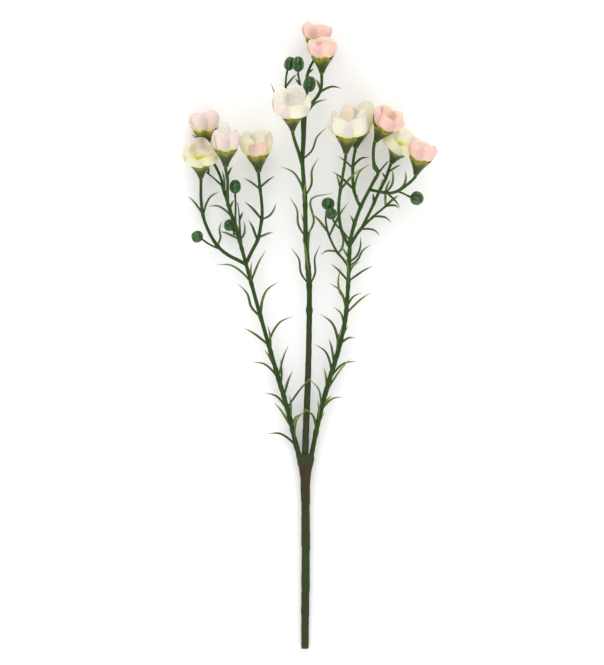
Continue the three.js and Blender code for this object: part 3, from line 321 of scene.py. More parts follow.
# base, axis: where the stalk enters and where the bud faces. size: its radius and length.
BUDS = {
    "bud_left_1": dict(base=[-73.2, 288.2, 15.5], axis=[-0.6, 0.3, 0.75], size=[4.2, 7.6]),
    "bud_left_2": dict(base=[-48.8, 319.5, 18.6], axis=[0, 1, 0], size=[3.8, 9.6]),
    "bud_left_3": dict(base=[-50.6, 294.6, 9.5], axis=[-0.5, 0.7, -0.3], size=[4.2, 8]),
    "bud_centre_1": dict(base=[-12.2, 406, 13], axis=[0.3, 1, 0], size=[3.6, 9.8]),
    "bud_centre_2": dict(base=[-4.8, 404.5, 20.5], axis=[0, 1, 0], size=[3.9, 10.6]),
    "bud_centre_3": dict(base=[1.9, 390.5, 19.5], axis=[0.25, 1, 0], size=[4.2, 11]),
    "bud_right_1": dict(base=[15.3, 308.2, 17.5], axis=[0.2, 1, 0.2], size=[4.4, 8.6]),
    "bud_right_2": dict(base=[19.5, 301.5, 24.5], axis=[-0.3, 0.9, 0.2], size=[3.9, 8]),
    "bud_right_3": dict(base=[73.8, 317, 22.5], axis=[0.85, -0.2, -0.2], size=[4.7, 9.2]),
}


# ---- numbers and curves


DRAW_FACTOR = 16807
DRAW_RANGE = 2147483647


def seeded_draw(seed):
    """The same run of numbers from 0 to 1 each time for the same seed."""
    state = seed

    def draw():
        nonlocal state
        state = (state * DRAW_FACTOR) % DRAW_RANGE
        return state / DRAW_RANGE
    return draw


def mix(start, end, share):
    return start + (end - start) * share


def smooth(value, low, high):
    share = min(1.0, max(0.0, (value - low) / (high - low)))
    return share * share * (3 - 2 * share)


class Path:
    """A smooth curve through points, by its length from 0 to 1."""

    STEPS = 200

    def __init__(self, points):
        self.points = [Vector(p) for p in points]
        samples = [self.raw(i / self.STEPS) for i in range(self.STEPS + 1)]
        self.lengths = [0.0]
        for a, b in zip(samples, samples[1:]):
            self.lengths.append(self.lengths[-1] + (b - a).length)
        self.length = self.lengths[-1]

    def raw(self, t):
        points = self.points
        last = len(points) - 1
        place = last * t
        number = min(int(place), last - 1)
        w = place - number
        p1, p2 = points[number], points[number + 1]
        p0 = points[number - 1] if number > 0 else p1 * 2 - p2
        p3 = points[number + 2] if number + 2 <= last else p2 * 2 - p1
        d0, d1, d2 = [max((b - a).length, 1e-8) ** 0.5 for a, b in ((p0, p1), (p1, p2), (p2, p3))]
        t1 = ((p1 - p0) / d0 - (p2 - p0) / (d0 + d1) + (p2 - p1) / d1) * d1
        t2 = ((p2 - p1) / d1 - (p3 - p1) / (d1 + d2) + (p3 - p2) / d2) * d1
        return (p1 + t1 * w + (p1 * -3 + p2 * 3 - t1 * 2 - t2) * w ** 2
                + (p1 * 2 - p2 * 2 + t1 + t2) * w ** 3)

    def at(self, share):
        target = share * self.length
        low = min(max(bisect_right(self.lengths, target) - 1, 0), self.STEPS - 1)
        step = self.lengths[low + 1] - self.lengths[low] or 1
        return self.raw((low + (target - self.lengths[low]) / step) / self.STEPS)

    def spread(self, steps, end=1.0):
        """Points at even steps from the start to an end."""
        return [self.at(end * i / steps) for i in range(steps + 1)]


def eased(points, t):
    """The point at t, from 0 to 1, of a smooth plane curve through evenly weighted points."""
    last = len(points) - 1
    place = min(max(t, 0), 1) * last
    number = min(int(place), last - 1)
    w = place - number
    p0, p1 = points[max(number - 1, 0)], points[number]
    p2, p3 = points[number + 1], points[min(number + 2, last)]
    v0, v1 = (p2 - p0) * 0.5, (p3 - p1) * 0.5
    return (p1 * 2 - p2 * 2 + v0 + v1) * w ** 3 + (p2 * 3 - p1 * 3 - v0 * 2 - v1) * w ** 2 + v0 * w + p1


def eased_outline(points, steps):
    """Pairs at even steps along such a curve."""
    curve = [Vector(p) for p in points]
    return [tuple(eased(curve, i / steps)) for i in range(steps + 1)]


def spray_origin():
    """Where the spray's x, y = 0 lies in the frame, read off the bud that faces straight along +Y."""
    lowest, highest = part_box("bud_left_2")
    x, y, _ = BUDS["bud_left_2"]["base"]
    return Vector(((lowest.x + highest.x) / 2 - x * MM, lowest.y - y * MM, 0))


ORIGIN = spray_origin()


def facing(axis):
    """The turn that sets +Z along an axis, +X to the right and +Y to the back."""
    ahead = Vector(axis).normalized()
    right = ahead.cross(UP).normalized()
    return Matrix((right, ahead.cross(right), ahead)).transposed()


# ---- meshes


def show(thing):
    """Sets a thing in the scene."""
    bpy.context.scene.collection.objects.link(thing)


class Shape:
    """The faces of one piece. Each point also keeps its grain: a place across, a place along and a
    tone, which the materials read."""

    def __init__(self):
        self.points, self.grain, self.faces, self.kinds = [], [], [], []

    def loft(self, rows, grains, kind=0, ends="fan"):
        """Closed rows of points, each joined to the next. ends: fan closes the end rows to their
        middles, and strip closes them straight across."""
        base, count = len(self.points), len(rows[0])
        for row, row_grain in zip(rows, grains):
            self.points += [Vector(p) for p in row]
            self.grain += row_grain
        for i in range(len(rows) - 1):
            for j in range(count):
                a, b = base + i * count + j, base + i * count + (j + 1) % count
                self.face((a, b, b + count, a + count), kind)
        for first in (base, base + (len(rows) - 1) * count):
            end = list(range(first, first + count))
            if ends == "strip":
                for j in range(count // 2 - 1):
                    self.face((end[j], end[j + 1], end[count - 2 - j], end[count - 1 - j]), kind)
            else:
                middle = sum((self.points[k] for k in end), Vector()) / count
                self.points.append(middle)
                self.grain.append(self.grain[first])
                for j in range(count):
                    self.face((end[j], end[(j + 1) % count], len(self.points) - 1), kind)

    def face(self, corners, kind):
        self.faces.append(corners)
        self.kinds.append(kind)

    def piece(self, name, slot, materials, node, seat=None):
        """Makes the piece, which stands where a node of the model does. seat: the bloom or bud whose
        frame the points are in. No point goes under the surface that the spray lies on."""
        turn, base = (facing(seat["axis"]), seat["base"]) if seat else (Matrix.Identity(3), (0, 0, 0))
        points = [turn @ point + Vector(base) for point in self.points]
        points = [Vector((p.x, p.y, max(p.z, 0.0))) * MM + ORIGIN for p in points]
        mesh = bpy.data.meshes.new(name)
        mesh.from_pydata(points, [], self.faces)
        grain = mesh.attributes.new("grain", "FLOAT_VECTOR", "POINT")
        grain.data.foreach_set("vector", [value for row in self.grain for value in row])
        for material in materials:
            mesh.materials.append(material)
        mesh.polygons.foreach_set("material_index", self.kinds)
        work = bmesh.new()
        work.from_mesh(mesh)
        bmesh.ops.recalc_face_normals(work, faces=work.faces)
        work.to_mesh(mesh)
        work.free()
        mesh.shade_smooth()
        thing = bpy.data.objects.new(name, mesh)
        show(thing)
        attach(thing, "root")
        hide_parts(node)


def around(sides):
    """The angles of a ring's points."""
    return [2 * pi * j / sides for j in range(sides)]


def ring(centre, along, wide, high, sides, roll=0.0):
    """A ring of points round a path, wide and high from its middle."""
    side = along.cross(UP).normalized()
    side.rotate(Matrix.Rotation(roll, 3, along))
    upright = side.cross(along)
    return [centre + side * (sin(a) * wide) + upright * (cos(a) * high) for a in around(sides)]


def headings(centres):
    last = len(centres) - 1
    return [(centres[min(i + 1, last)] - centres[max(i - 1, 0)]).normalized() for i in range(last + 1)]


def lathe(shape, profile, sides, reshape=lambda point, angle: point, tone=0.5):
    """A form turned about +Z from radii and heights, with the calyx's lobes and the height as grain."""
    rows, grains = [], []
    for radius, height in profile:
        rows.append([reshape(Vector((radius * cos(a), radius * sin(a), height)), a) for a in around(sides)])
        grains.append([(cos(a * CALYX_LOBES), height, tone) for a in around(sides)])
    shape.loft(rows, grains)


# ---- stalk

TAPE_SIDES = 48
TAPE_STEP = 0.8
TAPE_SLANT = 2.2       # how far a lap's edge runs along the stalk on its way round, and its turn
TAPE_TURN = 0.9
TAPE_CREASE = 0.07
TAPE_END = 3           # how far from an end the laps and creases start


def section_at(rings, y):
    """The x, z, half width and half height of a row of rings at y."""
    for near, far in zip(rings, rings[1:]):
        if y <= far[1]:
            break
    share = min(1, max(0, (y - near[1]) / (far[1] - near[1])))
    return [mix(near[k], far[k], share) for k in (0, 2, 3, 4)]


def wrapped(shape, rings, sides, slant):
    """A tape-wrapped length: its laps run slantwise, and it is faintly creased."""
    start, end = rings[0][1], rings[-1][1]
    steps = int((end - start) / TAPE_STEP)
    rows, grains = [], []
    for i in range(steps + 1):
        y = mix(start, end, i / steps)
        x, z, _, _ = section_at(rings, y)
        row, grain = [], []
        for angle in around(sides):
            inside = smooth(y, start, start + TAPE_END) * smooth(-y, -end, TAPE_END - end)
            lap = y + slant * sin(angle + TAPE_TURN) * inside
            _, _, wide, high = section_at(rings, min(end, max(start, lap)))
            waves = sin(angle * 7 + y * 0.31) * sin(y * 0.9 + angle) + 0.6 * sin(angle * 3 - y * 0.5)
            crease = TAPE_CREASE * inside * waves
            row.append(Vector((x + sin(angle) * (wide + crease), y, z + cos(angle) * (high + crease))))
            grain.append((sin(angle), lap, 0.5))
        rows.append(row)
        grains.append(grain)
    shape.loft(rows, grains)


def make_stalk():
    shape = Shape()
    wrapped(shape, STALK_RINGS, TAPE_SIDES, TAPE_SLANT)
    wrapped(shape, WIRE_RINGS, TAPE_SIDES // 2, TAPE_SLANT / 2)
    shape.piece("wrapped_stalk", "tape", [tape_material()], "stalk")


# ---- leafy branches

STEM_SIDES = 12
FINE_STEP = 1.6
SPINE_STEP = 0.1       # of each straight stretch of the model's stem
NECK_LENGTH = 1.6      # how far before a seat a stem already points the way it faces
LEAF_SIDES = 8
FINE_LEAF_STEPS = 14
LEAF_WIDTHS = (0.9, 1.1)
LEAF_FULLNESS = 0.92   # how wide and thick a leaf is against the model's
LEAF_NARROWING = 0.9   # how much of its width and of its thickness a leaf loses by its tip
LEAF_THINNING = 0.75
KNEE_SWELL = 0.22      # how much a stem thickens where a leaf leaves it, and over what length
KNEE_LENGTH = 1.8
COLLAR = 0.35          # how far the collar under a bloom or bud stands out, where, and how long it is
COLLAR_PLACE = 0.9
COLLAR_LENGTH = 0.7
LEAF_KIND = 1          # a leaf's place among the materials of its branch
TONE_SEED = 100        # sets the run of the leaves' tones apart from that of their shapes


def shoot_path(shoot):
    """The middle of a shoot's stem, led into the seat of what it carries."""
    points = list(shoot.path)
    carried = BLOOMS.get(shoot.tip) or BUDS.get(shoot.tip)
    if carried:
        foot = Vector(carried["base"])
        ahead = Vector(carried["axis"]).normalized()
        points += [foot - ahead * NECK_LENGTH, foot + ahead * PEG_LENGTH]
    return Path(points)


def coarse_spine(shoot, path):
    """Points along the straight stretches of the model's stem, which the leaves are rooted on."""
    steps = max(3, int(path.length / STEM_STEP + 0.5))
    centres = path.spread(steps)
    if shoot.tip:
        peg = centres.pop()
        centres += [path.at(1 - (PEG_LENGTH + CLEARANCE) / path.length)]
        centres += [path.at(1 - PEG_LENGTH / path.length), peg]
    points = []
    for near, far in zip(centres, centres[1:]):
        share = 0.0
        while share < 1:
            points.append(near.lerp(far, share))
            share += SPINE_STEP
    return points


def make_stem(shape, shoot, path, roots):
    """A shoot's stem, with a knee at each leaf's root, and a collar and a peg at a tip that carries."""
    foot, tip = shoot.thick
    steps = max(8, int(path.length / FINE_STEP))
    end = 1 - (PEG_LENGTH + CLEARANCE) / path.length if shoot.tip else 1
    centres = path.spread(steps, end)
    radii = []
    for i, centre in enumerate(centres):
        radius = mix(foot, tip, end * i / steps)
        near = min(((centre - root).length for root in roots), default=inf)
        radius *= 1 + KNEE_SWELL * exp(-(near / KNEE_LENGTH) ** 2)
        if shoot.tip:
            left = (1 - i / steps) * path.length * end
            radius += COLLAR * exp(-((left - COLLAR_PLACE) / COLLAR_LENGTH) ** 2)
        radii.append(radius)
    if shoot.tip:
        centres += [path.at(1 - PEG_LENGTH / path.length), path.at(1)]
        radii += [PEG_RADIUS, PEG_POINT_RADIUS]
    rows, grains = [], []
    for centre, along, radius in zip(centres, headings(centres), radii):
        rows.append(ring(centre, along, radius, radius, STEM_SIDES))
        grains.append([(sin(angle), centre.y, 0.5) for angle in around(STEM_SIDES)])
    shape.loft(rows, grains)


def make_leaf(shape, root, tip, bend, roll, width_share, tone):
    """One slender blade from its root inside the stem to its fine tip."""
    chord = tip - root
    upper = Vector((-chord.y, chord.x, 0)).normalized()
    if upper.y < 0:
        upper.negate()
    first, second = [share * chord.length for share in BENDS[bend]]
    path = Path([root, root + chord / 3 + upper * first, root + chord * (2 / 3) + upper * second, tip])
    centres = path.spread(FINE_LEAF_STEPS)
    rows, grains = [], []
    for i, (centre, along) in enumerate(zip(centres, headings(centres))):
        share = i / FINE_LEAF_STEPS
        swell = mix(LEAF_ROOT_SHARE, 1, sin(pi * share))
        wide = (LEAF_WIDTH / 2) * LEAF_FULLNESS * width_share * swell * (1 - LEAF_NARROWING * share ** 4)
        high = (LEAF_THICKNESS / 2) * LEAF_FULLNESS * (1 - LEAF_THINNING * share ** 3)
        rows.append(ring(centre, along, wide, high, LEAF_SIDES, roll))
        grains.append([(sin(angle), share, tone) for angle in around(LEAF_SIDES)])
    shape.loft(rows, grains, LEAF_KIND)


def nearest_on(points, x, y):
    return min(points, key=lambda point: hypot(point.x - x, point.y - y))


def make_branch(name, node, slot, shoots, seed, knot=()):
    draw = seeded_draw(seed)
    tones = seeded_draw(seed + TONE_SEED)
    shape = Shape()
    for shoot in shoots:
        path = shoot_path(shoot)
        middle = coarse_spine(shoot, path)
        roots = []
        for root_x, root_y, tip_x, tip_y, *rest in shoot.leaves:
            root = nearest_on(middle, root_x, root_y)
            drawn = mix(-LEAF_DEPTH, LEAF_DEPTH, draw())
            roll = mix(-LEAF_ROLL, LEAF_ROLL, draw())
            width_share = mix(*LEAF_WIDTHS, draw())
            bend = rest[0] if rest else "plain"
            rise = rest[1] if len(rest) > 1 else drawn
            tip = Vector((tip_x, tip_y, max(root.z + rise, LEAF_FLOOR)))
            make_leaf(shape, root, tip, bend, roll, width_share, tones())
            roots.append(root)
        if shoot.ruff:
            roots += make_ruff(shape, shoot.ruff, middle, draw, tones)
        make_stem(shape, shoot, path, roots)
    if knot:
        rows = [ring(Vector(r[:3]), Vector((0, 1, 0)), r[3], r[4], STEM_SIDES) for r in knot]
        shape.loft(rows, [[(0, r[1], 0.5)] * STEM_SIDES for r in knot])
    shape.piece(name, slot, [stem_material(slot), leaf_material(slot)], node)


def make_ruff(shape, ruff, middle, draw, tones):
    """The leaves that stand out to the front and back of a stem, at an even gap along it."""
    roots = []
    front = True
    y, end, gap = ruff
    while y <= end:
        root = next(point for point in middle if point.y >= y)
        length = mix(*RUFF["length"], draw())
        share = draw()
        rise = mix(*RUFF["rise"], share) if front else -mix(*RUFF["sink"], share)
        aside = mix(-RUFF["aside"], RUFF["aside"], draw())
        tip = Vector((root.x + aside, root.y + length, max(root.z + rise, LEAF_FLOOR)))
        make_leaf(shape, root, tip, "plain", 0, RUFF["width_share"], tones())
        roots.append(root)
        front = not front
        y += gap
    return roots


# ---- blooms

CALYX_SIDES = 60
CALYX_STEPS = 24
CALYX_FOLD = 0.018
CALYX_OUTLINE = [(1.7, 0), (2, 1), (3, 3.6), (4.5, 6.4), (6.2, 9.4), (CALYX_RIM_RADIUS, CALYX_LENGTH)]
CALYX_SOCKET = [(0, SOCKET_DEPTH), (0.5, 1.4), (SOCKET_RADIUS, 0)]
CALYX_MOUTH = [
    (CALYX_RIM_RADIUS - 0.2, CALYX_LENGTH + 0.15), (CALYX_RIM_RADIUS - 0.45, CALYX_LENGTH),
    (5.2, 9.4), (2.4, THROAT_HEIGHT), (0.3, THROAT_HEIGHT),
]
SEPAL_STEPS = 12
SEPAL_GRAIN = 1.2 * CALYX_LOBE_START
PETAL_ACROSS = 16
PETAL_ALONG = 26
PETAL_DISC_SIDES = 20
AXIS_GAP = 0.1
PETAL_PROBE = 0.02     # how far off the points are that a petal's slope is read from, and its profile's
PROFILE_PROBE = 1e-3
PETAL_MIDDLE = 0.5     # thickness of a petal in its middle and at its edge
PETAL_EDGE = 0.22
PETAL_THINS = 0.75     # how far up its edge starts to thin
PETAL_RIPPLE = 0.16
RIPPLE_START = 0.45
RIPPLE_ACROSS = 5.2
RIPPLE_ALONG = 3.1
PETAL_SEED_STEP = 1.3
BLOOM_SEED_STEP = 0.7
PETAL_TONE_STEP = 0.37
CLAW_FULLNESS = 0.16   # how much wider than the model's the claws are, so that they close the cup
RIM_FULLNESS = 0.8     # how much closer than the model's the petals come to the rim of the calyx
INSIDE = 2             # what the tone of a petal's inner face has added


def make_calyx(name, bloom):
    """The smooth trumpet of the calyx, with a scalloped rim."""
    profile = CALYX_SOCKET + eased_outline(CALYX_OUTLINE, CALYX_STEPS) + CALYX_MOUTH

    def lobed(point, angle):
        high = max(0, (point.z - CALYX_LOBE_START) / (CALYX_LENGTH - CALYX_LOBE_START))
        lobe = cos(CALYX_LOBES * angle)
        radius = max(1, hypot(point.x, point.y))
        fold = 1 + CALYX_FOLD * lobe * smooth(point.z, 1, 5)
        fold += CALYX_LOBE_FLARE * high * (1 + lobe) / (2 * radius)
        return Vector((point.x * fold, point.y * fold, point.z + CALYX_LOBE_HEIGHT * lobe * high))

    shape = Shape()
    lathe(shape, profile, CALYX_SIDES, lobed)
    spin = Matrix.Rotation(petal_angle(bloom, bloom.get("sepal_turn", 0)), 3, "Z")
    shape.points = [spin @ point for point in shape.points]
    for points in bloom.get("sepals", []):
        make_sepal(shape, points)
    shape.piece(f"{name}_calyx_cup", "calyx", [calyx_material()], f"{name}_calyx", bloom)


def make_sepal(shape, points):
    """A long sepal that curls out from the calyx to a fine tip."""
    centres = Path(points).spread(SEPAL_STEPS)
    rows, grains = [], []
    for i, (centre, along) in enumerate(zip(centres, headings(centres))):
        radius = SEPAL_RADIUS * (1 - SEPAL_TAPER * i / SEPAL_STEPS)
        rows.append(ring(centre, along, radius, radius, LEAF_SIDES))
        grains.append([(0, SEPAL_GRAIN, 0.5)] * LEAF_SIDES)
    shape.loft(rows, grains)


def petal_profile(bloom, number):
    reach, lip, belly = bloom["reach"], bloom["lip"], bloom.get("belly", PETAL_BELLY)
    tall = bloom["tall"] * bloom.get("heights", [1] * PETALS_IN_BLOOM)[number]
    free = tall - PETAL_RIM_HEIGHT
    return [Vector(p) for p in (
        PETAL_FOOT, (PETAL_RIM_RADIUS + RIM_FULLNESS, PETAL_RIM_HEIGHT),
        (SHOULDER_REACH * reach, PETAL_RIM_HEIGHT + PETAL_SHOULDER * belly * free),
        (reach, PETAL_RIM_HEIGHT + belly * free), (lip * reach, tall))]


def petal_angle(bloom, number):
    return radians(bloom["turn"] + (360 / PETALS_IN_BLOOM) * number)


def petal_surface(bloom, number, start, seed):
    """The middle of a petal's thickness, by across from -1 to 1 and along from 0 to 1."""
    profile = petal_profile(bloom, number)
    angle = petal_angle(bloom, number)
    twist = PETAL_TWIST * bloom.get("twist", 1)
    odd = bloom.get("odd", {})
    width = odd.get("width", 1) if odd.get("petal") == number else 1
    claw = PETAL_CLAW_ANGLE + CLAW_FULLNESS

    def surface(across, along):
        far = max(0, mix(start, 1, along) * (1 - PETAL_TIP_ROUNDING * along ** 2 * across ** 2))
        middle = eased(profile, far)
        ahead, behind = min(far + PROFILE_PROBE, 1), min(far, 1 - PROFILE_PROBE) - PROFILE_PROBE
        heading = (eased(profile, ahead) - eased(profile, behind)).normalized()
        widened = smooth(far, *PETAL_WIDENS)
        narrowed = 1 - PETAL_TIP_NARROWING * smooth(far, *PETAL_NARROWS)
        turn = angle + mix(claw, PETAL_BLADE_ANGLE, widened) * narrowed * width * across
        out = smooth(far, *PETAL_PARTS) * (twist * across - PETAL_CUPPING * across ** 2)
        ripple = sin(RIPPLE_ACROSS * across + seed) * sin(RIPPLE_ALONG * along + 2 * seed)
        out += PETAL_RIPPLE * smooth(far, RIPPLE_START, 1) * ripple
        radius = middle.x + out * heading.y
        height = middle.y - out * heading.x
        return Vector((radius * cos(turn), radius * sin(turn), height))
    return surface


def make_petal(shape, bloom, number, start, seed):
    """One spoon-shaped petal, thinner towards its edge."""
    surface = petal_surface(bloom, number, start, seed)
    probe = PETAL_PROBE
    rows, grains = [], []
    for j in range(PETAL_ALONG + 1):
        along = j / PETAL_ALONG
        faces = ([], [])
        values = []
        for i in range(PETAL_ACROSS + 1):
            across = -1 + 2 * i / PETAL_ACROSS
            sideways = surface(across + probe, along) - surface(across - probe, along)
            forward = surface(across, along + probe) - surface(across, along - probe)
            out = sideways.cross(forward).normalized()
            edge = max(across ** 4, smooth(along, PETAL_THINS, 1))
            half = mix(PETAL_MIDDLE, PETAL_EDGE, edge) / 2
            point = surface(across, along)
            faces[0].append(point + out * half)
            faces[1].append(point - out * half)
            values.append((across, mix(start, 1, along), (seed * PETAL_TONE_STEP) % 1))
        rows.append(faces[0] + faces[1][::-1])
        grains.append(values + [(across, far, tone + INSIDE) for across, far, tone in values[::-1]])
    shape.loft(rows, grains, ends="strip")


def make_petals(name, bloom, seed):
    """The petals on their disc, and by itself the petal of another colour."""
    cup, blade = Shape(), Shape()
    foot = THROAT_HEIGHT + CLEARANCE
    lathe(cup, [(AXIS_GAP, foot), (PETAL_DISC_RADIUS, foot), (PETAL_DISC_RADIUS, PETAL_DISC_TOP),
                (AXIS_GAP, PETAL_DISC_TOP)], PETAL_DISC_SIDES)
    cup.grain = [(0, 0, 0.5)] * len(cup.grain)
    odd = bloom.get("odd", {})
    for number in range(PETALS_IN_BLOOM):
        shape, start = (blade, ODD_PETAL_START) if odd.get("petal") == number else (cup, 0)
        make_petal(shape, bloom, number, start, seed + PETAL_SEED_STEP * number)
    pieces = [(cup, "petal_cup", bloom["petals"], "petals")]
    if odd:
        pieces.append((blade, "odd_petal_blade", odd["colour"], "odd_petal"))
    for shape, part, colour, node in pieces:
        shape.piece(f"{name}_{part}", f"petal_{colour}", [petal_material(colour)], f"{name}_{node}", bloom)


FILAMENTS = 10
FILAMENT_STAGGER = (-0.7, 0.5)
FILAMENT_SIDES = 6
FILAMENT_RADII = [0.22, 0.2, 0.18, 0.17, 0.16, 0.16, 0.4, 0.42, 0.12]
ANTHER_START = 6       # where among the radii the anther begins
STAMEN_FOOT = PETAL_DISC_TOP + CLEARANCE
STYLE_OUTLINE = [
    (0.05, STAMEN_FOOT), (0.8, STAMEN_FOOT), (1, 8.6), (0.7, 9.6), (0.45, 10.6), (0.4, 12.2), (0.6, 12.7),
    (0.45, 13.1), (0.05, 13.2),
]


def make_stamens(name, bloom):
    """A ring of short filaments with round anthers, about a thicker style."""
    shape = Shape()
    lathe(shape, STYLE_OUTLINE, 12, tone=0.2)
    for number, angle in enumerate(around(FILAMENTS)):
        out = Vector((cos(angle), sin(angle), 0))
        tall = STAMEN_TOP + FILAMENT_STAGGER[number % 2]
        path = Path([out * 0.6 + UP * 8.2, out * 1.1 + UP * 10, out * 1.9 + UP * (tall - 0.6),
                     out * 1.8 + UP * tall])
        centres = path.spread(len(FILAMENT_RADII) - 1)
        rows, grains = [], []
        for i, (centre, along, radius) in enumerate(zip(centres, headings(centres), FILAMENT_RADII)):
            side = along.cross(Vector((-sin(angle), cos(angle), 0))).normalized()
            other = side.cross(along)
            rows.append([centre + (side * cos(turn) + other * sin(turn)) * radius
                         for turn in around(FILAMENT_SIDES)])
            grains.append([(0, centre.z, 0.9 if i >= ANTHER_START else 0.5)] * FILAMENT_SIDES)
        shape.loft(rows, grains)
    shape.piece(f"{name}_stamen_tuft", "stamen", [stamen_material()], f"{name}_stamens", bloom)


# ---- buds

BUD_SIDES = 40
BUD_STEPS = 22
BUD_RIBS = 4
BUD_RIB = 0.03
FINE_RIB = 0.02        # a narrow ridge on the crest of each rib
BUD_OUTLINE = [(0.45, 0.02), (0.86, 0.2), (1, 0.48), (0.84, 0.78), (0.4, 0.98)]
BUD_TIP = 0.93


def make_bud(name, bud):
    radius, length = bud["size"]
    outline = [(SOCKET_RADIUS, 0)] + [(wide * radius, high * length) for wide, high in BUD_OUTLINE]
    outline.append((AXIS_GAP / 2, BUD_TIP * length))
    profile = [(AXIS_GAP / 2, SOCKET_DEPTH)] + eased_outline(outline, BUD_STEPS)

    def ribbed(point, angle):
        ribs = BUD_RIB * cos(BUD_RIBS * angle) + FINE_RIB * abs(cos(BUD_RIBS * angle)) ** 8
        swell = 1 + ribs * smooth(hypot(point.x, point.y), 0.3 * radius, 0.7 * radius)
        return Vector((point.x * swell, point.y * swell, point.z))

    shape = Shape()
    lathe(shape, profile, BUD_SIDES, ribbed)
    shape.grain = [(abs(cos(BUD_RIBS * atan2(point.y, point.x))), point.z / length, 0.5)
                   for point in shape.points]
    shape.piece(f"{name}_ball", "bud", [bud_material()], name, bud)


# ---- materials


def colour_of(code):
    """A hex colour as linear red, green, blue and alpha."""
    parts = [int(code[k:k + 2], 16) / 255 for k in (0, 2, 4)]
    return [c / 12.92 if c <= 0.04045 else ((c + 0.055) / 1.055) ** 2.4 for c in parts] + [1]


class Nodes:
    """A material's nodes, made and linked in short calls. A colour's hex code can stand for it."""

    def __init__(self, name):
        self.material = bpy.data.materials.new(name)
        self.material.use_nodes = True
        self.tree = self.material.node_tree
        self.shader = self.tree.nodes["Principled BSDF"]

    def node(self, kind, inputs, **settings):
        """A new node, with values or other nodes' outputs fed to its inputs."""
        made = self.tree.nodes.new(kind)
        for key, value in settings.items():
            setattr(made, key, value)
        for key, value in inputs.items():
            self.feed(made.inputs[key], value)
        return made

    def feed(self, target, value):
        if isinstance(value, bpy.types.NodeSocket):
            self.tree.links.new(value, target)
        else:
            target.default_value = colour_of(value) if isinstance(value, str) else value

    def grain(self):
        """The across, along and tone values that the mesh keeps."""
        read = self.node("ShaderNodeAttribute", {}, attribute_name="grain")
        return self.node("ShaderNodeSeparateXYZ", {0: read.outputs["Vector"]}).outputs[:]

    def math(self, operation, a, b=0.0):
        return self.node("ShaderNodeMath", {0: a, 1: b}, operation=operation).outputs[0]

    def span(self, value, low, high, to_low=0.0, to_high=1.0):
        inputs = {"Value": value, "From Min": low, "From Max": high, "To Min": to_low, "To Max": to_high}
        return self.node("ShaderNodeMapRange", inputs).outputs["Result"]

    def ramp(self, value, stops):
        made = self.node("ShaderNodeValToRGB", {0: value})
        elements = made.color_ramp.elements
        while len(elements) < len(stops):
            elements.new(0.5)
        for element, (place, code) in zip(elements, stops):
            element.position = place
            element.color = colour_of(code)
        return made.outputs[0]

    def blend(self, share, a, b):
        inputs = {"Factor": share, "A": a, "B": b}
        return self.node("ShaderNodeMix", inputs, data_type="RGBA").outputs["Result"]

    def noise(self, scale, detail=3.0, stretch=(1, 1, 1), vector=None):
        if vector is None:
            vector = self.node("ShaderNodeTexCoord", {}).outputs["Object"]
        where = self.node("ShaderNodeMapping", {0: vector, "Scale": stretch}).outputs[0]
        inputs = {"Vector": where, "Scale": scale, "Detail": detail}
        return self.node("ShaderNodeTexNoise", inputs).outputs["Fac"]

    def bump(self, height, strength, distance):
        inputs = {"Strength": strength, "Distance": distance, "Height": height}
        self.feed(self.shader.inputs["Normal"], self.node("ShaderNodeBump", inputs).outputs[0])

    def finish(self, colour, roughness, specular=0.5, **settings):
        inputs = {"Base_Color": colour, "Roughness": roughness, "Specular_IOR_Level": specular}
        for key, value in {**inputs, **settings}.items():
            self.feed(self.shader.inputs[key.replace("_", " ")], value)
        return self.material


@cache
def tape_material():
    n = Nodes("wrapped_tape")
    _, along, _ = n.grain()
    bands = n.ramp(n.span(along, 0, 240), [
        (0.0, "2b3614"), (0.06, "28381c"), (0.09, "38291c"), (0.165, "2f281a"), (0.175, "25381a"),
        (0.29, "24371b"), (0.3, "2d2d1a"), (0.42, "33281c"), (0.5, "3a251b"), (0.53, "3e211b"),
        (0.56, "2d3b21"), (0.75, "2a341c"), (1.0, "263818")])
    patches = n.span(n.noise(70, 4, (1, 0.35, 1)), 0.35, 0.7)
    colour = n.blend(n.math("MULTIPLY", patches, 0.6), bands, "2f4020")
    fine = n.noise(900, 5, (1, 0.3, 1))
    colour = n.blend(n.span(fine, 0.3, 0.75, 0.0, 0.26), colour, "58583e")
    n.bump(n.noise(600, 6, (1, 0.4, 1)), 0.35, 0.0004)
    return n.finish(colour, n.span(fine, 0.3, 0.7, 0.5, 0.75), 0.12)


def greens(slot):
    """Foot, middle and tip greens of a branch, and the yellower one of its leaf tips."""
    if slot == "leaf_green":
        return "1a3208", "203e0a", "30520e", "a3a83e"
    return "163008", "1c3a0b", "284810", "97a03e"


@cache
def stem_material(slot):
    dark, middle, light, _ = greens(slot)
    n = Nodes(f"{slot}_stem")
    _, along, _ = n.grain()
    colour = n.ramp(n.span(along, 130, 380), [(0, dark), (0.4, middle), (1, light)])
    mottle = n.span(n.noise(220, 4, (1, 0.5, 1)), 0.3, 0.7)
    colour = n.blend(n.math("MULTIPLY", mottle, 0.4), colour, "405820")
    n.bump(n.noise(700, 4, (1, 0.25, 1)), 0.25, 0.0003)
    return n.finish(colour, n.span(mottle, 0, 1, 0.36, 0.5), 0.2)


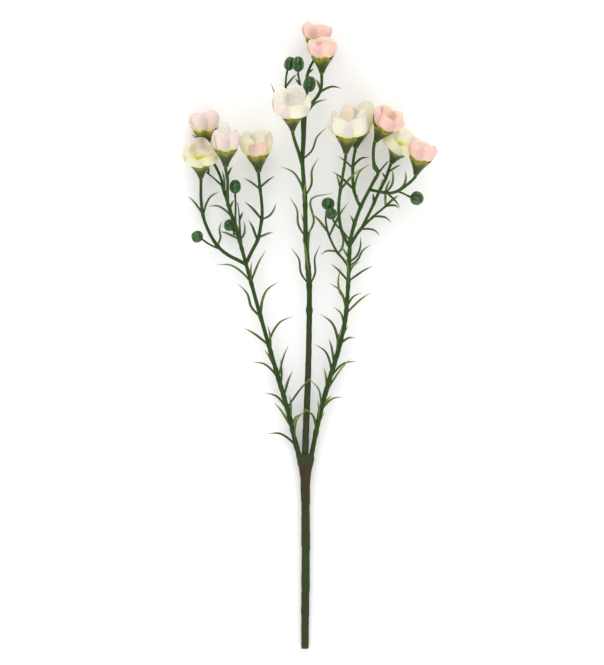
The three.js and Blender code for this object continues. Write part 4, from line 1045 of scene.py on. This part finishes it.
@cache
def leaf_material(slot):
    dark, middle, light, tip = greens(slot)
    n = Nodes(f"{slot}_leaf")
    across, along, tone = n.grain()
    colour = n.ramp(along, [(0, dark), (0.35, middle), (0.75, light), (1, tip)])
    pale = n.math("MULTIPLY", tone, n.span(along, 0.3, 1.0, 0.15, 0.75))
    colour = n.blend(pale, colour, tip)
    # painted highlight: a lighter green stripe along the middle of the leaf's faces, where its ridge
    # catches the light
    painted_ridge_highlight = n.span(n.math("ABSOLUTE", across), 0.0, 0.5, 0.35, 0.0)
    colour = n.blend(painted_ridge_highlight, colour, "66803a")
    streaks = n.noise(900)
    n.bump(streaks, 0.15, 0.0002)
    return n.finish(colour, n.span(streaks, 0.3, 0.7, 0.34, 0.48), 0.25)


@cache
def calyx_material():
    n = Nodes("calyx_cup")
    across, along, _ = n.grain()
    rim = n.math("ADD", along, n.math("MULTIPLY", across, -0.5))
    colour = n.ramp(n.span(rim, 0, 12.6), [
        (0, "6c7a34"), (0.07, "2f4416"), (0.25, "22340b"), (0.5, "2b3e0e"), (0.68, "445212"),
        (0.84, "76781a"), (1, "9c942e")])
    ribs = n.span(n.noise(500), 0.35, 0.7)
    colour = n.blend(n.math("MULTIPLY", ribs, 0.25), colour, "5f6230")
    n.bump(ribs, 0.2, 0.0002)
    return n.finish(colour, n.span(ribs, 0, 1, 0.4, 0.52), 0.25)


@cache
def bud_material():
    n = Nodes("bud_ball")
    across, along, _ = n.grain()
    colour = n.ramp(along, [(0, "2c4812"), (0.2, "1c4612"), (0.7, "184010"), (1, "305018")])
    mottle = n.span(n.noise(420, 4), 0.4, 0.65)
    # painted shade: darker green between the ribs, where shade falls in the grooves
    painted_shade_between_ribs = n.math("MULTIPLY", n.span(across, 0.1, 0.7, 0.7, 0), n.span(mottle, 0, 1, 1, 0.3))
    colour = n.blend(painted_shade_between_ribs, colour, "0a2204")
    # painted highlight: lighter green along the ribs, standing in for glints
    painted_highlight_on_ribs = n.math("MULTIPLY", n.span(across, 0.6, 1.0, 0.1, 0.6), mottle)
    colour = n.blend(painted_highlight_on_ribs, colour, "4e8a3c")
    n.bump(n.noise(260), 0.35, 0.0006)
    return n.finish(colour, n.span(mottle, 0, 1, 0.24, 0.34), 0.3, Coat_Weight=0.3, Coat_Roughness=0.08)


@cache
def stamen_material():
    n = Nodes("stamen_tuft")
    _, along, tone = n.grain()
    colour = n.ramp(n.span(along, 7.5, 13), [(0, "d6cc4e"), (0.5, "eede5e"), (1, "f4e774")])
    colour = n.blend(n.span(tone, 0.6, 0.9, 0.0, 0.6), colour, "e2b84a")
    speck = n.noise(1500, 2)
    n.bump(speck, 0.2, 0.0002)
    return n.finish(colour, n.span(speck, 0.3, 0.7, 0.5, 0.7))


# The throat, lower part, middle and edge of a petal's outer face, and of its inner face. The yellow throat
# is the petal's own colour. The outer face is also painted darker and khakier low down as painted shade,
# the inner face paler as painted light in the cup, and the edge colour is painted shade.
PETAL_TINTS = {
    "pale_pink": ("d8ce86", "e2d0b8", "ebd0ca", "e0c0ba"),
    "salmon": ("dac27c", "e4bea8", "ecb6b0", "e4a6a2"),
    "cream": ("cec668", "d4ca88", "e2dcb8", "d6d0aa"),
    "white": ("d0c86e", "d8d29a", "e4e1cc", "d6d4be"),
}
INNER_TINTS = {
    "pale_pink": ("ffea38", "ffecc4", "ffe2da", "f6d4cc"),
    "salmon": ("ffe038", "ffdcbe", "ffd2c6", "f8bcb4"),
    "cream": ("fff230", "fffcb8", "fffff0", "faf4d4"),
    "white": ("fff238", "fffde2", "fffffc", "f6f4e2"),
}


@cache
def petal_material(tint):
    n = Nodes(f"petal_{tint}")
    across, along, tone = n.grain()
    edge = PETAL_TINTS[tint][3]
    faces = []
    # the outer face's colours carry painted shade and the inner face's colours painted light
    for (throat, lower, middle, rim), pale in ((PETAL_TINTS[tint], 0.7), (INNER_TINTS[tint], 0.62)):
        stops = [(0.22, throat), (0.42, lower), (pale, middle), (0.9, middle), (1, rim)]
        faces.append(n.ramp(along, stops))
    colour = n.blend(n.span(tone, 1.4, 1.6), *faces)
    # painted shade: high up, the petal darkens to its edge colour along its sides, as it does towards its
    # tip
    rim = n.math("POWER", n.math("ABSOLUTE", across), 5.0)
    rim = n.math("MULTIPLY", rim, n.span(along, 0.4, 0.8))
    colour = n.blend(n.math("MULTIPLY", rim, 0.55), colour, edge)
    stretched = [n.math("MULTIPLY", value, by) for value, by in ((across, 9), (along, 1.2), (tone, 31))]
    fan = n.node("ShaderNodeCombineXYZ", dict(enumerate(stretched))).outputs[0]
    veins = n.noise(1.6, vector=fan)
    colour = n.blend(n.span(veins, 0.5, 0.75, 0.0, 0.35), colour, edge)
    n.bump(veins, 0.25, 0.0003)
    return n.finish(colour, n.span(veins, 0.3, 0.7, 0.5, 0.62), 0.2, Subsurface_Weight=0.85,
                    Subsurface_Scale=0.004, Subsurface_Radius=(1.0, 0.9, 0.7))


# ---- floor, light and camera

FIELD = 465.5          # height of the view, at the depth of its middle
FIELD_MIDDLE = (-2.1, 222.25, 15)
LENS, SENSOR = 200, 36
FLOOR_REACH = 6        # metres
FLOOR_DROP = 0.0002
WORLD_STRENGTH = 0.98


def make_floor():
    mesh = bpy.data.meshes.new("floor")
    corners = [(x * FLOOR_REACH, y * FLOOR_REACH, 0) for x, y in ((-1, -1), (1, -1), (1, 1), (-1, 1))]
    mesh.from_pydata(corners, [], [(0, 1, 2, 3)])
    floor = bpy.data.objects.new("floor", mesh)
    n = Nodes("pale_floor")
    grit = n.noise(30, 4)
    mesh.materials.append(n.finish(n.blend(grit, "fbfbfa", "fdfdfc"), 0.9))
    floor.location.z = -FLOOR_DROP
    show(floor)


def make_light(name, place, size, power):
    lamp = bpy.data.lights.new(name, "AREA")
    lamp.shape = "RECTANGLE"
    lamp.size, lamp.size_y = size
    lamp.energy = power
    thing = bpy.data.objects.new(name, lamp)
    thing.location = place
    thing.rotation_euler = (-Vector(place)).to_track_quat("-Z", "Y").to_euler()
    show(thing)


def make_studio():
    world = bpy.data.worlds.new("studio")
    world.use_nodes = True
    background = world.node_tree.nodes["Background"]
    background.inputs["Color"].default_value = (1, 1, 1, 1)
    background.inputs["Strength"].default_value = WORLD_STRENGTH
    bpy.context.scene.world = world
    make_light("key", (-0.35, 1.6, 1.0), (1.6, 1.6), 12)
    make_light("fill", (0.3, -1.5, 0.9), (1.4, 1.4), 9)
    bpy.context.scene.view_settings.view_transform = "Standard"


def make_camera():
    lens = bpy.data.cameras.new("camera")
    lens.lens, lens.sensor_width = LENS, SENSOR
    lens.dof.use_dof = False
    lens.clip_start, lens.clip_end = 0.01, 50
    camera = bpy.data.objects.new("camera", lens)
    camera.location = Vector(FIELD_MIDDLE) * MM + ORIGIN + UP * (FIELD * MM * LENS / SENSOR)
    show(camera)
    bpy.context.scene.camera = camera


# ---- the spray

make_camera()
make_studio()
make_floor()
make_stalk()
make_branch("left_branch", "branch_left", "stem_green", LEFT_SHOOTS, SEEDS["left"])
make_branch("centre_branch", "branch_centre", "stem_green", CENTRE_SHOOTS, SEEDS["centre"], KNOT_RINGS)
make_branch("right_branch", "branch_right", "leaf_green", RIGHT_SHOOTS, SEEDS["right"])
for number, (name, bloom) in enumerate(BLOOMS.items()):
    make_calyx(name, bloom)
    make_petals(name, bloom, BLOOM_SEED_STEP * number)
    make_stamens(name, bloom)
for name, bud in BUDS.items():
    make_bud(name, bud)
